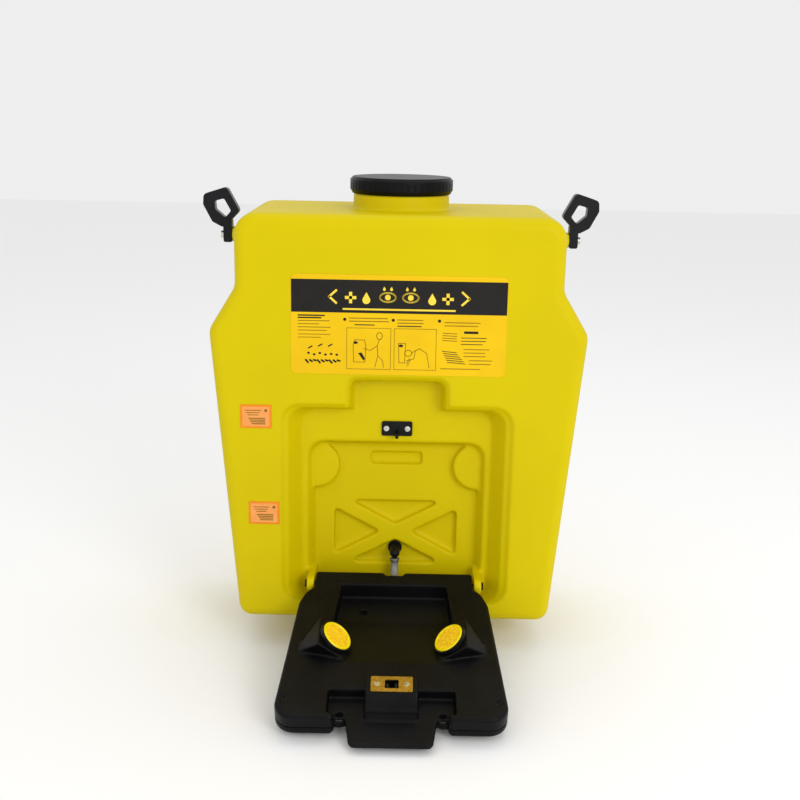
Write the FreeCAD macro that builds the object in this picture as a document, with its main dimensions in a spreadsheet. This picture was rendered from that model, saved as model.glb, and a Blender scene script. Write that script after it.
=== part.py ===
"""Gravity-fed portable eyewash station: a moulded tank with a fold-down tray and two spray heads.

The origin is the centre of the tank's flat base. +Z is up, the user stands at -Y, +X is the user's right.
The tray is modelled open, resting on its stop. Tray pieces are drawn in the tray's own frame: X across,
-Y away from the hinge, Z up from the hinge plane, and are then turned by the droop about the hinge axis.
"""
import FreeCAD, Part
import math
import os

import Sketcher

V = FreeCAD.Vector
X_AXIS = V(1, 0, 0)
Y_AXIS = V(0, 1, 0)
Z_AXIS = V(0, 0, 1)
SIDES = (("left", -1), ("right", 1))

SIZES = (
    # tank shell
    ("tankDepth", 250), ("tankBaseHalf", 233), ("tankShoulderHalf", 270), ("tankUpperHalf", 232),
    ("shoulderHeight", 440), ("flareTopHeight", 502), ("tankHeight", 606), ("tankWall", 5),
    ("baseCornerRound", 20), ("shoulderRound", 26), ("flareRound", 24), ("topCornerRound", 32),
    ("tankEdgeRound", 17),
    # recess in the front of the tank that the tray folds into
    ("lipHeight", 29), ("mouthHalf", 163), ("mouthTop", 332), ("mouthBevel", 6), ("mouthCornerRound", 24),
    ("shelfDepth", 34.5), ("shelfHalf", 139), ("shelfTop", 322), ("deepTop", 272), ("deepHalf", 132),
    ("floorDepth", 60), ("floorHalf", 121), ("floorTop", 262), ("channelHalf", 70), ("channelTop", 373),
    ("channelTaper", 7), ("channelCornerRound", 12),
    ("lobeRadius", 36), ("lobeHeight", 12), ("lobeOffset", 121), ("lobeCentre", 230),
    ("keyPocketHalf", 39), ("keyPocketBottom", 229), ("keyPocketTop", 249), ("keyPocketDepth", 7),
    ("braceHalf", 93), ("braceBottom", 70), ("braceTop", 170), ("braceArm", 22), ("braceDepth", 10),
    # neck, cap and liner
    ("collarRadius", 70.5), ("collarHeight", 20), ("neckRadius", 67), ("neckHeight", 38),
    ("neckBore", 60), ("threadHeight", 1.8), ("threadPitch", 6),
    ("capRadius", 75.5), ("capWall", 5), ("capSkirt", 19), ("capClearance", 0.8), ("linerThickness", 3),
    ("capEdge", 4), ("ventHole", 2), ("gripCount", 48), ("gripRadius", 1.6),
    # carrying eyes
    ("eyeThickness", 16), ("eyeBossRadius", 12), ("eyeBossReach", 18), ("eyeBossHeight", 563),
    ("eyeStemWidth", 13), ("eyeScrewRadius", 3), ("insertRadius", 4.5), ("insertLength", 12),
    # hinge
    ("hingeHeight", 57), ("hingeSetback", 5), ("trayDroop", 15.8), ("pinRadius", 4), ("pinFit", 0.05),
    ("bushWall", 2), ("lugInner", 119), ("lugThickness", 12), ("lugNose", 11), ("earLength", 18),
    ("pinHeadRadius", 6), ("pinHeadHeight", 2.5),
    # tray shells
    ("deckTop", 8), ("partingPlane", -12), ("trayBottom", -24), ("trayWall", 3), ("baseWall", 2.5),
    ("rearReach", 16), ("rimTop", 12), ("earHalf", 117), ("sideRearHalf", 138), ("trayHalf", 155), ("trayReach", 272),
    ("lobeInner", 76), ("notchReach", 258), ("tabHalf", 59), ("tabTaper", 5), ("tabReach", 302), ("tabTop", -8),
    ("tabBottom", -14.5),     ("hoseNotchHalf", 16.5), ("hoseNotchDepth", 8), ("trayCornerRound", 26),
    ("trayEdgeRound", 4),
    ("basinRear", 13), ("basinFloor", -13), ("basinFlat", 70), ("basinFront", 172), ("basinRearHalf", 77),
    ("basinFrontHalf", 85.5), ("basinWidePoint", 96), ("drainRadius", 4.5), ("drainOffset", 44),
    ("drainReach", 47), ("hollowInner", 35), ("hollowOuter", 84), ("hollowRear", 222), ("hollowFront", 262),
    ("weepRadius", 4), ("weepWell", 8), ("weepOffset", 68), ("weepReach", 251), ("stopPadHalf", 15), ("stopPadOffset", 62), ("stopGap", 0.05),
    ("traySideScrewOffset", 141), ("traySideScrewReach", 240), ("trayRearScrewOffset", 118),
    ("trayRearScrewReach", 34), ("trayScrewRadius", 2), ("trayScrewHead", 4), ("screwBoss", 5.5),
    # spray heads and their mounts
    ("mountInner", 60), ("mountCrest", 101), ("mountOuter", 134), ("mountRear", 105), ("mountFront", 166),
    ("mountToe", 1.5), ("mountCrestHeight", 32), ("headFlangeRadius", 25), ("headFlangeHeight", 5),
    ("headBodyRadius", 19), ("headBodyDepth", 18), ("headFit", 0.3), ("ringRadius", 22.6),
    ("ringInner", 18.6), ("ringHeight", 5), ("headFloor", 1.2), ("foamHeight", 4), ("chamberRadius", 9),
    ("chamberDepth", 36), ("sealThickness", 1), ("barbRadius", 4), ("barbReach", 16),
    # hoses and fittings
    ("hoseRadius", 6), ("hoseBore", 4), ("outletHeight", 92), ("outletFlange", 10.5), ("outletReach", 26),
    ("outletStub", 8), ("elbowRadius", 7.5), ("nutRadius", 14), ("nutHeight", 7), ("gasketThickness", 1.5),
    ("inletDrop", -9), ("inletReach", 20), ("teeRadius", 7), ("teeArm", 14), ("teeSetback", 2.5),
    ("branchBend", 26), ("clipWall", 1.5), ("clipWidth", 7), ("supplyClipWidth", 4), ("hoseBend", 24),
    # catch on the tray and its strike on the tank
    ("latchReach", 229), ("latchPlane", 26), ("blockHalf", 34), ("blockRear", 203), ("blockFlatFront", 246),
    ("blockFrontReach", 262), ("plateWidth", 55), ("plateLength", 27), ("plateThickness", 2),
    ("openingWidth", 18), ("openingLength", 15), ("plateScrewOffset", 19.5), ("plateScrewRadius", 1.75),
    ("plateScrewHead", 4), ("catchWidth", 30), ("catchLength", 20), ("catchDepth", 15), ("catchWall", 2),
    ("jawRadius", 3), ("jawOffset", 6), ("jawLength", 13), ("jawSink", 7.5),
    ("strikeWidth", 45), ("strikeHeight", 22), ("strikeThickness", 2.5),
    ("spearDrop", 7), ("spearReach", 15), ("spearHeight", 8), ("spearNeck", 3.6), ("spearHead", 5),
    # labels
    ("labelHalf", 152), ("labelBottom", 382), ("labelTop", 524), ("labelThickness", 0.6), ("labelRound", 9),
    ("stickerWidth", 45), ("stickerHeight", 35), ("upperStickerX", -203), ("upperStickerZ", 317),
    ("lowerStickerX", -193), ("lowerStickerZ", 170),
)

doc = FreeCAD.newDocument("eyewash_station")
sheet = doc.addObject("Spreadsheet::Sheet", "sizes")
for row, (name, value) in enumerate(SIZES, start=1):
    sheet.set("A%d" % row, name)
    sheet.set("B%d" % row, str(value))
    sheet.setAlias("B%d" % row, name)
doc.recompute()

nodes = []


class Sizes:
    """Reads the sheet, so that every shape made in code follows its cells."""

    def __getattr__(self, name):
        return float(sheet.get(name))


S = Sizes()


# ---------------------------------------------------------------- places
def front():
    """Y of the tank's front face."""
    return -S.tankDepth / 2


def tray_placement():
    """The tray's own frame, drooped about the hinge axis."""
    return FreeCAD.Placement(V(0, front() + S.hingeSetback, S.hingeHeight), FreeCAD.Rotation(X_AXIS, S.trayDroop))


def head_tilt():
    """Angle of a spray head's axis from the tray's normal, from the slope of its mount."""
    return math.degrees(math.atan2(S.mountCrestHeight - S.mountToe, S.mountCrest - S.mountInner))


def head_placement(sign):
    """A spray head's frame: origin on the middle of the mount's sloping face, Z along the jet."""
    middle = V(sign * (S.mountInner + S.mountCrest) / 2, -(S.mountRear + S.mountFront) / 2,
               (S.mountToe + S.mountCrestHeight) / 2)
    return tray_placement().multiply(FreeCAD.Placement(middle, FreeCAD.Rotation(Y_AXIS, -sign * head_tilt())))


def stop_pad_level():
    """Height, in the tray's frame, of the pads that rest on the lip of the recess when the tray is open."""
    droop = math.radians(S.trayDroop)
    drop = S.lipHeight + S.stopGap - S.hingeHeight
    return drop * math.cos(droop) + S.hingeSetback * math.sin(droop)


def barb_level():
    """Where along a head's axis its side barb sits, so that it lies level with the tee."""
    middle = (S.mountToe + S.mountCrestHeight) / 2
    return (S.inletDrop - middle) / math.cos(math.radians(head_tilt()))


def spear_height():
    """Height at which the catch meets its strike when the tray is folded up."""
    return S.hingeHeight + S.latchReach


# ---------------------------------------------------------------- document helpers
def keep(obj, label, placement=None):
    """Name a finished sub-part and put it in its place."""
    obj.Label = label
    if placement is not None:
        obj.Placement = placement
    nodes.append(obj)
    return obj


def shaped(label, shape, placement=None):
    """A sub-part whose shape is worked out in code."""
    obj = doc.addObject("Part::Feature", label)
    obj.Shape = shape
    return keep(obj, label, placement)


def new_body(label):
    return doc.addObject("PartDesign::Body", label)


def ride_tray(obj):
    """Bind a body's place to the hinge, so that it follows the tray's frame."""
    obj.Placement = tray_placement()
    obj.setExpression("Placement.Base.y", "-sizes.tankDepth/2 + sizes.hingeSetback")
    obj.setExpression("Placement.Base.z", "sizes.hingeHeight")
    obj.setExpression("Placement.Rotation.Angle", "sizes.trayDroop")


def sketch_on(body, role, offset="0"):
    """A sketch on one of the body's own origin planes, moved along the plane's normal."""
    sketch = body.newObject("Sketcher::SketchObject", body.Name + "_sketch")
    plane = [item for item in body.Origin.OriginFeatures if item.Role == role][0]
    sketch.AttachmentSupport = [(plane, "")]
    sketch.MapMode = "FlatFace"
    sketch.setExpression("AttachmentOffset.Base.z", offset)
    doc.recompute()
    return sketch


def pin_point(sketch, geometry, vertex, across, along):
    """Hold one point of a sketch at two formulas of the sheet."""
    for kind, formula in (("DistanceX", across), ("DistanceY", along)):
        value = float(sketch.evalExpression(formula))
        index = sketch.addConstraint(Sketcher.Constraint(kind, -1, 1, geometry, vertex, value))
        sketch.setExpression("Constraints[%d]" % index, formula)


def polygon(sketch, points):
    """A closed outline through points given as pairs of formulas."""
    places = [V(float(sketch.evalExpression(a)), float(sketch.evalExpression(b)), 0) for a, b in points]
    first = sketch.GeometryCount
    count = len(points)
    for index in range(count):
        sketch.addGeometry(Part.LineSegment(places[index], places[(index + 1) % count]), False)
    for index in range(count):
        following = first + (index + 1) % count
        sketch.addConstraint(Sketcher.Constraint("Coincident", first + index, 2, following, 1))
        pin_point(sketch, first + index, 1, *points[index])


def circle(sketch, across, along, radius):
    """A circle whose centre and radius are formulas."""
    place = V(float(sketch.evalExpression(across)), float(sketch.evalExpression(along)), 0)
    value = float(sketch.evalExpression(radius))
    index = sketch.addGeometry(Part.Circle(place, Z_AXIS, value), False)
    pin_point(sketch, index, 3, across, along)
    constraint = sketch.addConstraint(Sketcher.Constraint("Radius", index, value))
    sketch.setExpression("Constraints[%d]" % constraint, radius)


def rectangle(sketch, left, right, bottom, top):
    polygon(sketch, [(left, bottom), (right, bottom), (right, top), (left, top)])


def pad(body, sketch, length, backwards=False):
    feature = body.newObject("PartDesign::Pad", body.Name + "_pad")
    feature.Profile = sketch
    feature.setExpression("Length", length)
    feature.Reversed = backwards
    doc.recompute()
    return feature


def pocket(body, sketch, length, backwards=False):
    """Cut a sketch into a body and make sure that something was removed."""
    before = body.Shape.Volume
    feature = body.newObject("PartDesign::Pocket", body.Name + "_pocket")
    feature.Profile = sketch
    feature.setExpression("Length", length)
    feature.Reversed = backwards
    doc.recompute()
    if body.Shape.Volume >= before - 1e-6:
        raise ValueError("%s: a pocket cut nothing" % body.Name)
    return feature


def lathe(label, points):
    """A body turned about its Z axis from an outline in its XZ plane, and kept as a sub-part."""
    body = new_body(label)
    sketch = sketch_on(body, "XZ_Plane")
    polygon(sketch, points)
    turn = body.newObject("PartDesign::Revolution", label + "_turn")
    turn.Profile = sketch
    turn.ReferenceAxis = (sketch, ["V_Axis"])
    turn.Angle = 360
    doc.recompute()
    return body


def round_edges(body, radius, choose):
    """Fillet the edges of a body's last feature that the test picks."""
    base = body.Tip
    names = ["Edge%d" % (i + 1) for i, edge in enumerate(base.Shape.Edges) if choose(edge)]
    if not names:
        raise ValueError("%s: no edge to round" % body.Name)
    feature = body.newObject("PartDesign::Fillet", body.Name + "_round")
    feature.Base = (base, names)
    feature.setExpression("Radius", radius)
    doc.recompute()
    return feature


def runs_along(axis):
    """A test for straight edges that run along an axis."""
    def test(edge):
        if not isinstance(edge.Curve, Part.Line):
            return False
        return abs(abs(edge.Curve.Direction.dot(axis)) - 1) < 1e-6
    return test


# ---------------------------------------------------------------- shape helpers
def cylinder(radius, start, end):
    direction = end.sub(start)
    return Part.makeCylinder(radius, direction.Length, start, direction)


def box(x0, x1, y0, y1, z0, z1):
    return Part.makeBox(x1 - x0, y1 - y0, z1 - z0, V(x0, y0, z0))


def rounded_wire(points, radii):
    """A closed outline of straight runs whose corners are tangent arcs of the given radii."""
    edges = []
    starts = []
    ends = []
    mids = []
    count = len(points)
    for index, (corner, radius) in enumerate(zip(points, radii)):
        back = points[index - 1].sub(corner).normalize()
        ahead = points[(index + 1) % count].sub(corner).normalize()
        half = back.getAngle(ahead) / 2
        reach = radius / math.tan(half)
        middle = back.add(ahead).normalize()
        centre = corner.add(middle * (radius / math.sin(half)))
        starts.append(corner.add(back * reach))
        ends.append(corner.add(ahead * reach))
        mids.append(centre.sub(middle * radius))
    for index in range(count):
        if radii[index] > 0:
            edges.append(Part.Arc(starts[index], mids[index], ends[index]).toShape())
        following = (index + 1) % count
        if ends[index].distanceToPoint(starts[following]) > 1e-6:
            edges.append(Part.LineSegment(ends[index], starts[following]).toShape())
    return Part.Wire(Part.__sortEdges__(edges))


def rounded_rectangle(half, bottom, top, radius, y):
    """An upright rectangle with round corners, centred on X = 0, at one Y."""
    points = [V(-half, y, bottom), V(half, y, bottom), V(half, y, top), V(-half, y, top)]
    return rounded_wire(points, [radius] * 4)


def between(first, second):
    """The ruled solid between two outlines."""
    return Part.makeLoft([first, second], True, True)


def mirrored(shape):
    return shape.mirror(V(0, 0, 0), X_AXIS)


def fused(shapes):
    return shapes[0].fuse(list(shapes[1:])).removeSplitter()


def outline_prism(face, bottom, top):
    """A flat face, drawn at height 0, raised between two heights."""
    raised = face.copy()
    raised.translate(V(0, 0, bottom))
    return raised.extrude(V(0, 0, top - bottom))


def round_on_plane(shape, y, radius):
    """Fillet every edge of a solid that lies in one plane of constant Y."""
    edges = [edge for edge in shape.Edges
             if abs(edge.BoundBox.YMin - y) < 1e-4 and abs(edge.BoundBox.YMax - y) < 1e-4]
    return shape.makeFillet(radius, edges)


def round_at_height(shape, z, radius):
    """Fillet every edge of a solid that lies in one plane of constant Z."""
    edges = [edge for edge in shape.Edges
             if abs(edge.BoundBox.ZMin - z) < 1e-4 and abs(edge.BoundBox.ZMax - z) < 1e-4]
    return shape.makeFillet(radius, edges)


# ---------------------------------------------------------------- tank
def tank_block(inset):
    """The tank's outside, or with an inset its inside, before recess and neck."""
    half = [(S.tankBaseHalf, 0, S.baseCornerRound), (S.tankShoulderHalf, S.shoulderHeight, S.shoulderRound),
            (S.tankUpperHalf, S.flareTopHeight, S.flareRound), (S.tankUpperHalf, S.tankHeight, S.topCornerRound)]
    ring = [(x, z, r) for x, z, r in half] + [(-x, z, r) for x, z, r in reversed(half)]
    wire = rounded_wire([V(x, 0, z) for x, z, r in ring], [r for x, z, r in ring])
    face = Part.Face(wire)
    if inset > 0:
        face = face.makeOffset2D(-inset)
    depth = S.tankDepth - 2 * inset
    face.translate(V(0, -depth / 2, 0))
    block = face.extrude(V(0, depth, 0))
    radius = S.tankEdgeRound - inset
    return round_on_plane(round_on_plane(block, -depth / 2, radius), depth / 2, radius)


def brace_triangles():
    """The four shallow pockets that leave a cross of two ribs in the recess floor."""
    middle = (S.braceBottom + S.braceTop) / 2
    rise = (S.braceTop - S.braceBottom) / 2
    slope = math.hypot(S.braceHalf, rise)
    shift_up = S.braceArm / 2 * slope / S.braceHalf
    shift_out = S.braceArm / 2 * slope / rise
    triangles = []
    for sign in (-1, 1):
        triangles.append([(0, middle + sign * shift_up),
                          (S.braceHalf - shift_out, middle + sign * rise),
                          (-(S.braceHalf - shift_out), middle + sign * rise)])
        triangles.append([(sign * shift_out, middle), (sign * S.braceHalf, middle + rise - shift_up),
                          (sign * S.braceHalf, middle - rise + shift_up)])
    deep = front() + S.floorDepth
    solids = []
    for triangle in triangles:
        wire = rounded_wire([V(x, deep - 1, z) for x, z in triangle], [3.0] * 3)
        solids.append(Part.Face(wire).extrude(V(0, S.braceDepth + 1, 0)))
    return solids


def recess_cutter(grow):
    """Everything that the tray's recess takes out of the tank, grown on all sides by a wall."""
    face = front()
    shelf = face + S.shelfDepth + grow
    floor = face + S.floorDepth + grow
    low = S.lipHeight - grow
    corner = S.mouthCornerRound
    mouth = rounded_rectangle(S.mouthHalf + grow, low, S.mouthTop + grow, corner, face)
    shelf_edge = rounded_rectangle(S.shelfHalf + grow, low, S.shelfTop + grow, corner, shelf)
    deep_edge = rounded_rectangle(S.deepHalf + grow, low, S.deepTop + grow, corner, shelf - grow)
    floor_edge = rounded_rectangle(S.floorHalf + grow, low, S.floorTop + grow, corner, floor)
    lobes = []
    for sign in (-1, 1):
        place = V(sign * S.lobeOffset, floor - S.lobeHeight, S.lobeCentre)
        lobes.append(Part.makeCylinder(S.lobeRadius - grow, S.lobeHeight + 1, place, Y_AXIS))
    deep = between(deep_edge, floor_edge).cut(lobes)
    channel_top = S.channelTop + grow
    mouth_channel = rounded_rectangle(S.channelHalf + grow, S.shelfTop - 40, channel_top, S.channelCornerRound, face)
    floor_channel = rounded_rectangle(S.channelHalf - S.channelTaper + grow, S.shelfTop - 40,
                                      channel_top - S.channelTaper, S.channelCornerRound, shelf)
    pieces = [between(mouth, shelf_edge), deep, between(mouth_channel, floor_channel)]
    pieces.append(box(-S.keyPocketHalf - grow, S.keyPocketHalf + grow, floor - 1, floor + S.keyPocketDepth,
                      S.keyPocketBottom - grow, S.keyPocketTop + grow))
    if grow > 0:
        pieces.append(box(-S.braceHalf - grow, S.braceHalf + grow, floor - 1, floor + S.braceDepth,
                          S.braceBottom - grow, S.braceTop + grow))
        pieces.append(box(-S.mouthHalf, S.mouthHalf, face - 1, face + grow, S.lipHeight, S.mouthTop))
        return fused(pieces)
    bevel = S.mouthBevel
    for half, top, radius in ((S.mouthHalf, S.mouthTop, corner),
                              (S.channelHalf, S.channelTop, S.channelCornerRound)):
        outer = rounded_rectangle(half + bevel, S.lipHeight, top + bevel, radius + bevel, face - 0.5)
        inner = rounded_rectangle(half, S.lipHeight, top, radius, face + bevel)
        pieces.append(between(outer, inner))
    return fused(pieces + brace_triangles())


def hinge_lugs():
    """Solid lugs moulded on the recess floor, one each side of the tray, that carry the hinge pins."""
    axis_y = front() + S.hingeSetback
    back = front() + S.floorDepth + S.tankWall - 1
    lugs = []
    for sign in (-1, 1):
        x0, x1 = sorted((sign * S.lugInner, sign * (S.lugInner + S.lugThickness)))
        arm = box(x0, x1, axis_y, back, S.hingeHeight - S.lugNose, S.hingeHeight + S.lugNose)
        nose = cylinder(S.lugNose, V(x0, axis_y, S.hingeHeight), V(x1, axis_y, S.hingeHeight))
        hole = cylinder(S.pinRadius, V(x0 - 1, axis_y, S.hingeHeight), V(x1 + 1, axis_y, S.hingeHeight))
        lugs.append(arm.fuse(nose).removeSplitter().cut(hole))
    return lugs


def neck():
    """The filling neck: a plain collar, a threaded rim and its bore."""
    base = S.tankHeight - S.tankWall
    collar = Part.makeCylinder(S.collarRadius, S.collarHeight + S.tankWall, V(0, 0, base))
    rim = Part.makeCylinder(S.neckRadius, S.neckHeight + S.tankWall, V(0, 0, base))
    pieces = [collar, rim]
    crest = S.neckRadius + S.threadHeight
    for turn in range(2):
        low = S.tankHeight + S.collarHeight + 4 + turn * S.threadPitch
        pieces.append(Part.makeCone(S.neckRadius, crest, 1.5, V(0, 0, low - 1.5)))
        pieces.append(Part.makeCone(crest, S.neckRadius, 1.5, V(0, 0, low)))
    return fused(pieces)


def eye_bosses():
    """Solid bosses on the tank's sides that take the inserts of the carrying eyes."""
    inner = S.tankUpperHalf - S.tankWall + 1
    reach = S.tankUpperHalf + S.eyeBossReach
    bosses = []
    for sign in (-1, 1):
        start = V(sign * inner, 0, S.eyeBossHeight)
        end = V(sign * reach, 0, S.eyeBossHeight)
        hole = cylinder(S.insertRadius, V(sign * (reach - S.insertLength), 0, S.eyeBossHeight), end)
        bosses.append(cylinder(S.eyeBossRadius, start, end).cut(hole))
    return bosses


def make_tank():
    """Hollow one-piece tank: outer block and neck, less the cavity, recess and outlet hole."""
    outer = tank_block(0).fuse(neck()).cut(recess_cutter(0))
    cavity = tank_block(S.tankWall).cut(recess_cutter(S.tankWall))
    bore = Part.makeCylinder(S.neckBore, S.neckHeight + 60, V(0, 0, S.tankHeight - 50))
    shell = outer.cut(cavity.fuse(bore))
    outlet_floor = front() + S.floorDepth + S.braceDepth
    outlet = cylinder(S.outletStub, V(0, outlet_floor - 1, S.outletHeight),
                      V(0, outlet_floor + S.tankWall + 1, S.outletHeight))
    strike_holes = [cylinder(1.4, V(x, front() + S.shelfDepth - 1, strike_centre()),
                             V(x, front() + S.shelfDepth + S.tankWall - 1, strike_centre()))
                    for x in (-strike_screw_x(), strike_screw_x())]
    shell = shell.cut([outlet] + strike_holes)
    return shaped("tank", shell.fuse(hinge_lugs() + eye_bosses()).removeSplitter())


# ---------------------------------------------------------------- cap
def make_cap():
    """Screw cap with a liner that seals on the neck's rim, both with a vent hole."""
    rim = "(sizes.tankHeight + sizes.neckHeight)"
    roof = rim + " + sizes.linerThickness"
    inner = "sizes.neckRadius + sizes.threadHeight + sizes.capClearance"
    skirt = "sizes.tankHeight + sizes.neckHeight + sizes.linerThickness - sizes.capSkirt"
    top = roof + " + sizes.capWall"
    cap = lathe("fill_cap", [
        ("sizes.ventHole", roof), ("sizes.ventHole", top), ("sizes.capRadius - sizes.capEdge", top),
        ("sizes.capRadius", top + " - sizes.capEdge"), ("sizes.capRadius", skirt + " + sizes.capEdge + 2"),
        ("sizes.capRadius - sizes.capEdge + 0.5", skirt), (inner, skirt), (inner, roof)])
    sketch = sketch_on(cap, "XY_Plane", skirt + " + sizes.capEdge + 2")
    circle(sketch, "sizes.capRadius + sizes.gripRadius/2", "0", "sizes.gripRadius")
    groove = pocket(cap, sketch, "sizes.capSkirt - sizes.capEdge - sizes.capWall", backwards=True)
    pattern = cap.newObject("PartDesign::PolarPattern", "fill_cap_grips")
    pattern.Originals = [groove]
    axis = [item for item in cap.Origin.OriginFeatures if item.Role == "Z_Axis"][0]
    pattern.Axis = (axis, [""])
    pattern.Angle = 360
    pattern.setExpression("Occurrences", "sizes.gripCount")
    cap.Tip = pattern
    doc.recompute()
    keep(cap, "fill_cap")
    liner = lathe("cap_liner", [
        ("sizes.ventHole", rim), ("sizes.neckRadius", rim), ("sizes.neckRadius", roof), ("sizes.ventHole", roof)])
    keep(liner, "cap_liner")


# ---------------------------------------------------------------- carrying eyes
EYE_OUTLINE = ((257, 633), (291, 622), (292, 607), (279, 582), (262, 573), (238, 598))
EYE_HOLE = ((275, 612), (261, 616), (251, 598), (260, 588), (274, 600))


def make_eyes():
    """Moulded carrying eyes on stems, bolted through the stem into an insert in the tank's boss."""
    reach = S.tankUpperHalf + S.eyeBossReach
    shift = reach - 250.0
    rise = S.eyeBossHeight - 563.0
    half = S.eyeThickness / 2
    for side, sign in SIDES:
        solids = []
        for points, radius in ((EYE_OUTLINE, 7.0), (EYE_HOLE, 3.5)):
            wire = rounded_wire([V(x + shift, -half, z + rise) for x, z in points], [radius] * len(points))
            solids.append(Part.Face(wire).extrude(V(0, S.eyeThickness, 0)))
        stem_points = [V(reach, -half, S.eyeBossHeight - 11), V(reach + S.eyeStemWidth, -half, S.eyeBossHeight - 11),
                       V(reach + S.eyeStemWidth, -half, S.eyeBossHeight + 16), V(reach, -half, S.eyeBossHeight + 22)]
        stem = Part.Face(rounded_wire(stem_points, [3.0, 3.0, 1.0, 1.0])).extrude(V(0, S.eyeThickness, 0))
        eye = solids[0].fuse(stem).removeSplitter().cut(solids[1])
        hole = cylinder(S.eyeScrewRadius + 0.2, V(reach - 1, 0, S.eyeBossHeight),
                        V(reach + S.eyeStemWidth + 1, 0, S.eyeBossHeight))
        eye = eye.cut(hole)
        shaped("carry_eye_" + side, eye if sign > 0 else mirrored(eye))
    screws = []
    inserts = []
    for side, sign in SIDES:
        seat = reach + S.eyeStemWidth
        height = S.eyeBossHeight
        shank = cylinder(S.eyeScrewRadius, V(sign * (reach - S.insertLength + 1), 0, height), V(sign * seat, 0, height))
        head = cylinder(S.eyeScrewRadius * 1.8, V(sign * seat, 0, height), V(sign * (seat + 4), 0, height))
        socket = cylinder(S.eyeScrewRadius * 0.9, V(sign * (seat + 1.5), 0, height), V(sign * (seat + 5), 0, height))
        screws.append(shank.fuse(head).removeSplitter().cut(socket))
        sleeve = cylinder(S.insertRadius, V(sign * (reach - S.insertLength), 0, height), V(sign * reach, 0, height))
        inserts.append(sleeve.cut(cylinder(S.eyeScrewRadius, V(sign * (reach - S.insertLength - 1), 0, height),
                                           V(sign * (reach + 1), 0, height))))
    shaped("carry_eye_screws", Part.makeCompound(screws))
    shaped("carry_eye_inserts", Part.makeCompound(inserts))


# ---------------------------------------------------------------- tray shells
def tray_outline(with_tab):
    """The tray seen from above, in its own frame at height 0, with or without the pull tab."""
    half = [(S.hoseNotchHalf, S.rearReach, S.trayEdgeRound + 1), (S.earHalf, S.rearReach, 6), (S.earHalf, -13, 2),
            (S.earHalf + 13, -28, 6), (S.sideRearHalf, -50, 12), (S.trayHalf, -S.trayReach, S.trayCornerRound),
            (S.lobeInner, -S.trayReach, 6), (S.lobeInner - 3, -S.notchReach, 3)]
    if with_tab:
        half += [(S.tabHalf + 3, -S.notchReach, 3), (S.tabHalf, -(S.notchReach + 8), 3),
                 (S.tabHalf - S.tabTaper, -S.tabReach, 8)]
    notch = [(-S.hoseNotchHalf + 3, S.rearReach - S.hoseNotchDepth, 3),
             (S.hoseNotchHalf - 3, S.rearReach - S.hoseNotchDepth, 3)]
    ring = half + [(-x, y, r) for x, y, r in reversed(half)] + notch
    wire = rounded_wire([V(x, y, 0) for x, y, r in ring], [r for x, y, r in ring])
    return Part.Face(wire)


def basin_cutter(grow):
    """The basin between the spray heads: a steep rear wall and a floor that climbs to the deck."""
    top = S.rimTop + 1
    floor = S.basinFloor - grow
    profile = [V(0, -S.basinRear + grow, top), V(0, -S.basinRear - 3 + grow, floor), V(0, -S.basinFlat, floor),
               V(0, -S.basinFront, S.deckTop - grow), V(0, -S.basinFront, top)]
    radii = [0, 3, 10, 0, 0]
    face = Part.Face(rounded_wire([p + V(-200, 0, 0) for p in profile], radii))
    trough = face.extrude(V(400, 0, 0))
    wide = S.basinFrontHalf + grow
    rear = S.basinRearHalf + grow
    plan = [V(rear, -S.basinRear + grow + 1, 0), V(wide, -S.basinWidePoint, 0), V(wide, -S.basinFront - 1, 0)]
    ring = plan + [V(-p.x, p.y, 0) for p in reversed(plan)]
    area = Part.Face(rounded_wire(ring, [0.0] * len(ring)))
    return trough.common(outline_prism(area, floor - 1, top))


def front_cutter(grow):
    """The two finger hollows beside the catch block and the low ground under the pull tab."""
    floor = S.tabTop - grow
    top = S.deckTop + 1
    inner = S.hollowInner - grow
    outer = S.hollowOuter + grow
    pieces = []
    for sign in (-1, 1):
        x0, x1 = sorted((sign * inner, sign * outer))
        pieces.append(box(x0, x1, -S.hollowFront - grow, -S.hollowRear + grow, floor, top))
    tab = S.lobeInner - 4 + grow
    pieces.append(box(-tab, tab, -S.tabReach - 5, -S.hollowFront + grow, floor, top))
    return fused(pieces)


def catch_block(grow):
    """The raised block that carries the catch, as a profile drawn across the tray's width."""
    profile = [(S.blockRear, S.tabTop), (S.blockRear + 8, S.latchPlane), (S.blockFlatFront, S.latchPlane),
               (S.blockFlatFront + 6, S.latchPlane - 8), (S.blockFrontReach, S.tabTop)]
    half = S.blockHalf + grow
    wire = rounded_wire([V(-half, -reach, height) for reach, height in profile], [0, 4, 4, 8, 0])
    return Part.Face(wire).extrude(V(2 * half, 0, 0))


def head_mount(sign):
    """A gusset whose sloping face carries a spray head."""
    toe0 = V(S.mountInner, -S.mountRear, S.mountToe)
    toe1 = V(S.mountInner, -S.mountFront, S.mountToe)
    crest0 = V(S.mountCrest, -S.mountRear - 2, S.mountCrestHeight)
    crest1 = V(S.mountCrest, -S.mountFront + 2, S.mountCrestHeight)
    middle = -(S.mountRear + S.mountFront) / 2 - 12
    low = S.deckTop - S.trayWall - 1
    apex0 = V(S.mountOuter, middle + 4, low)
    apex1 = V(S.mountOuter, middle - 4, low)
    loops = [[toe0, toe1, crest1, crest0], [crest0, crest1, apex1, apex0], [toe0, crest0, apex0],
             [toe1, apex1, crest1], [toe0, apex0, apex1, toe1]]
    faces = [Part.Face(Part.makePolygon(loop + loop[:1])) for loop in loops]
    solid = Part.Solid(Part.Shell(faces))
    if solid.Volume < 0:
        solid.reverse()
    return solid if sign > 0 else mirrored(solid)


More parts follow.
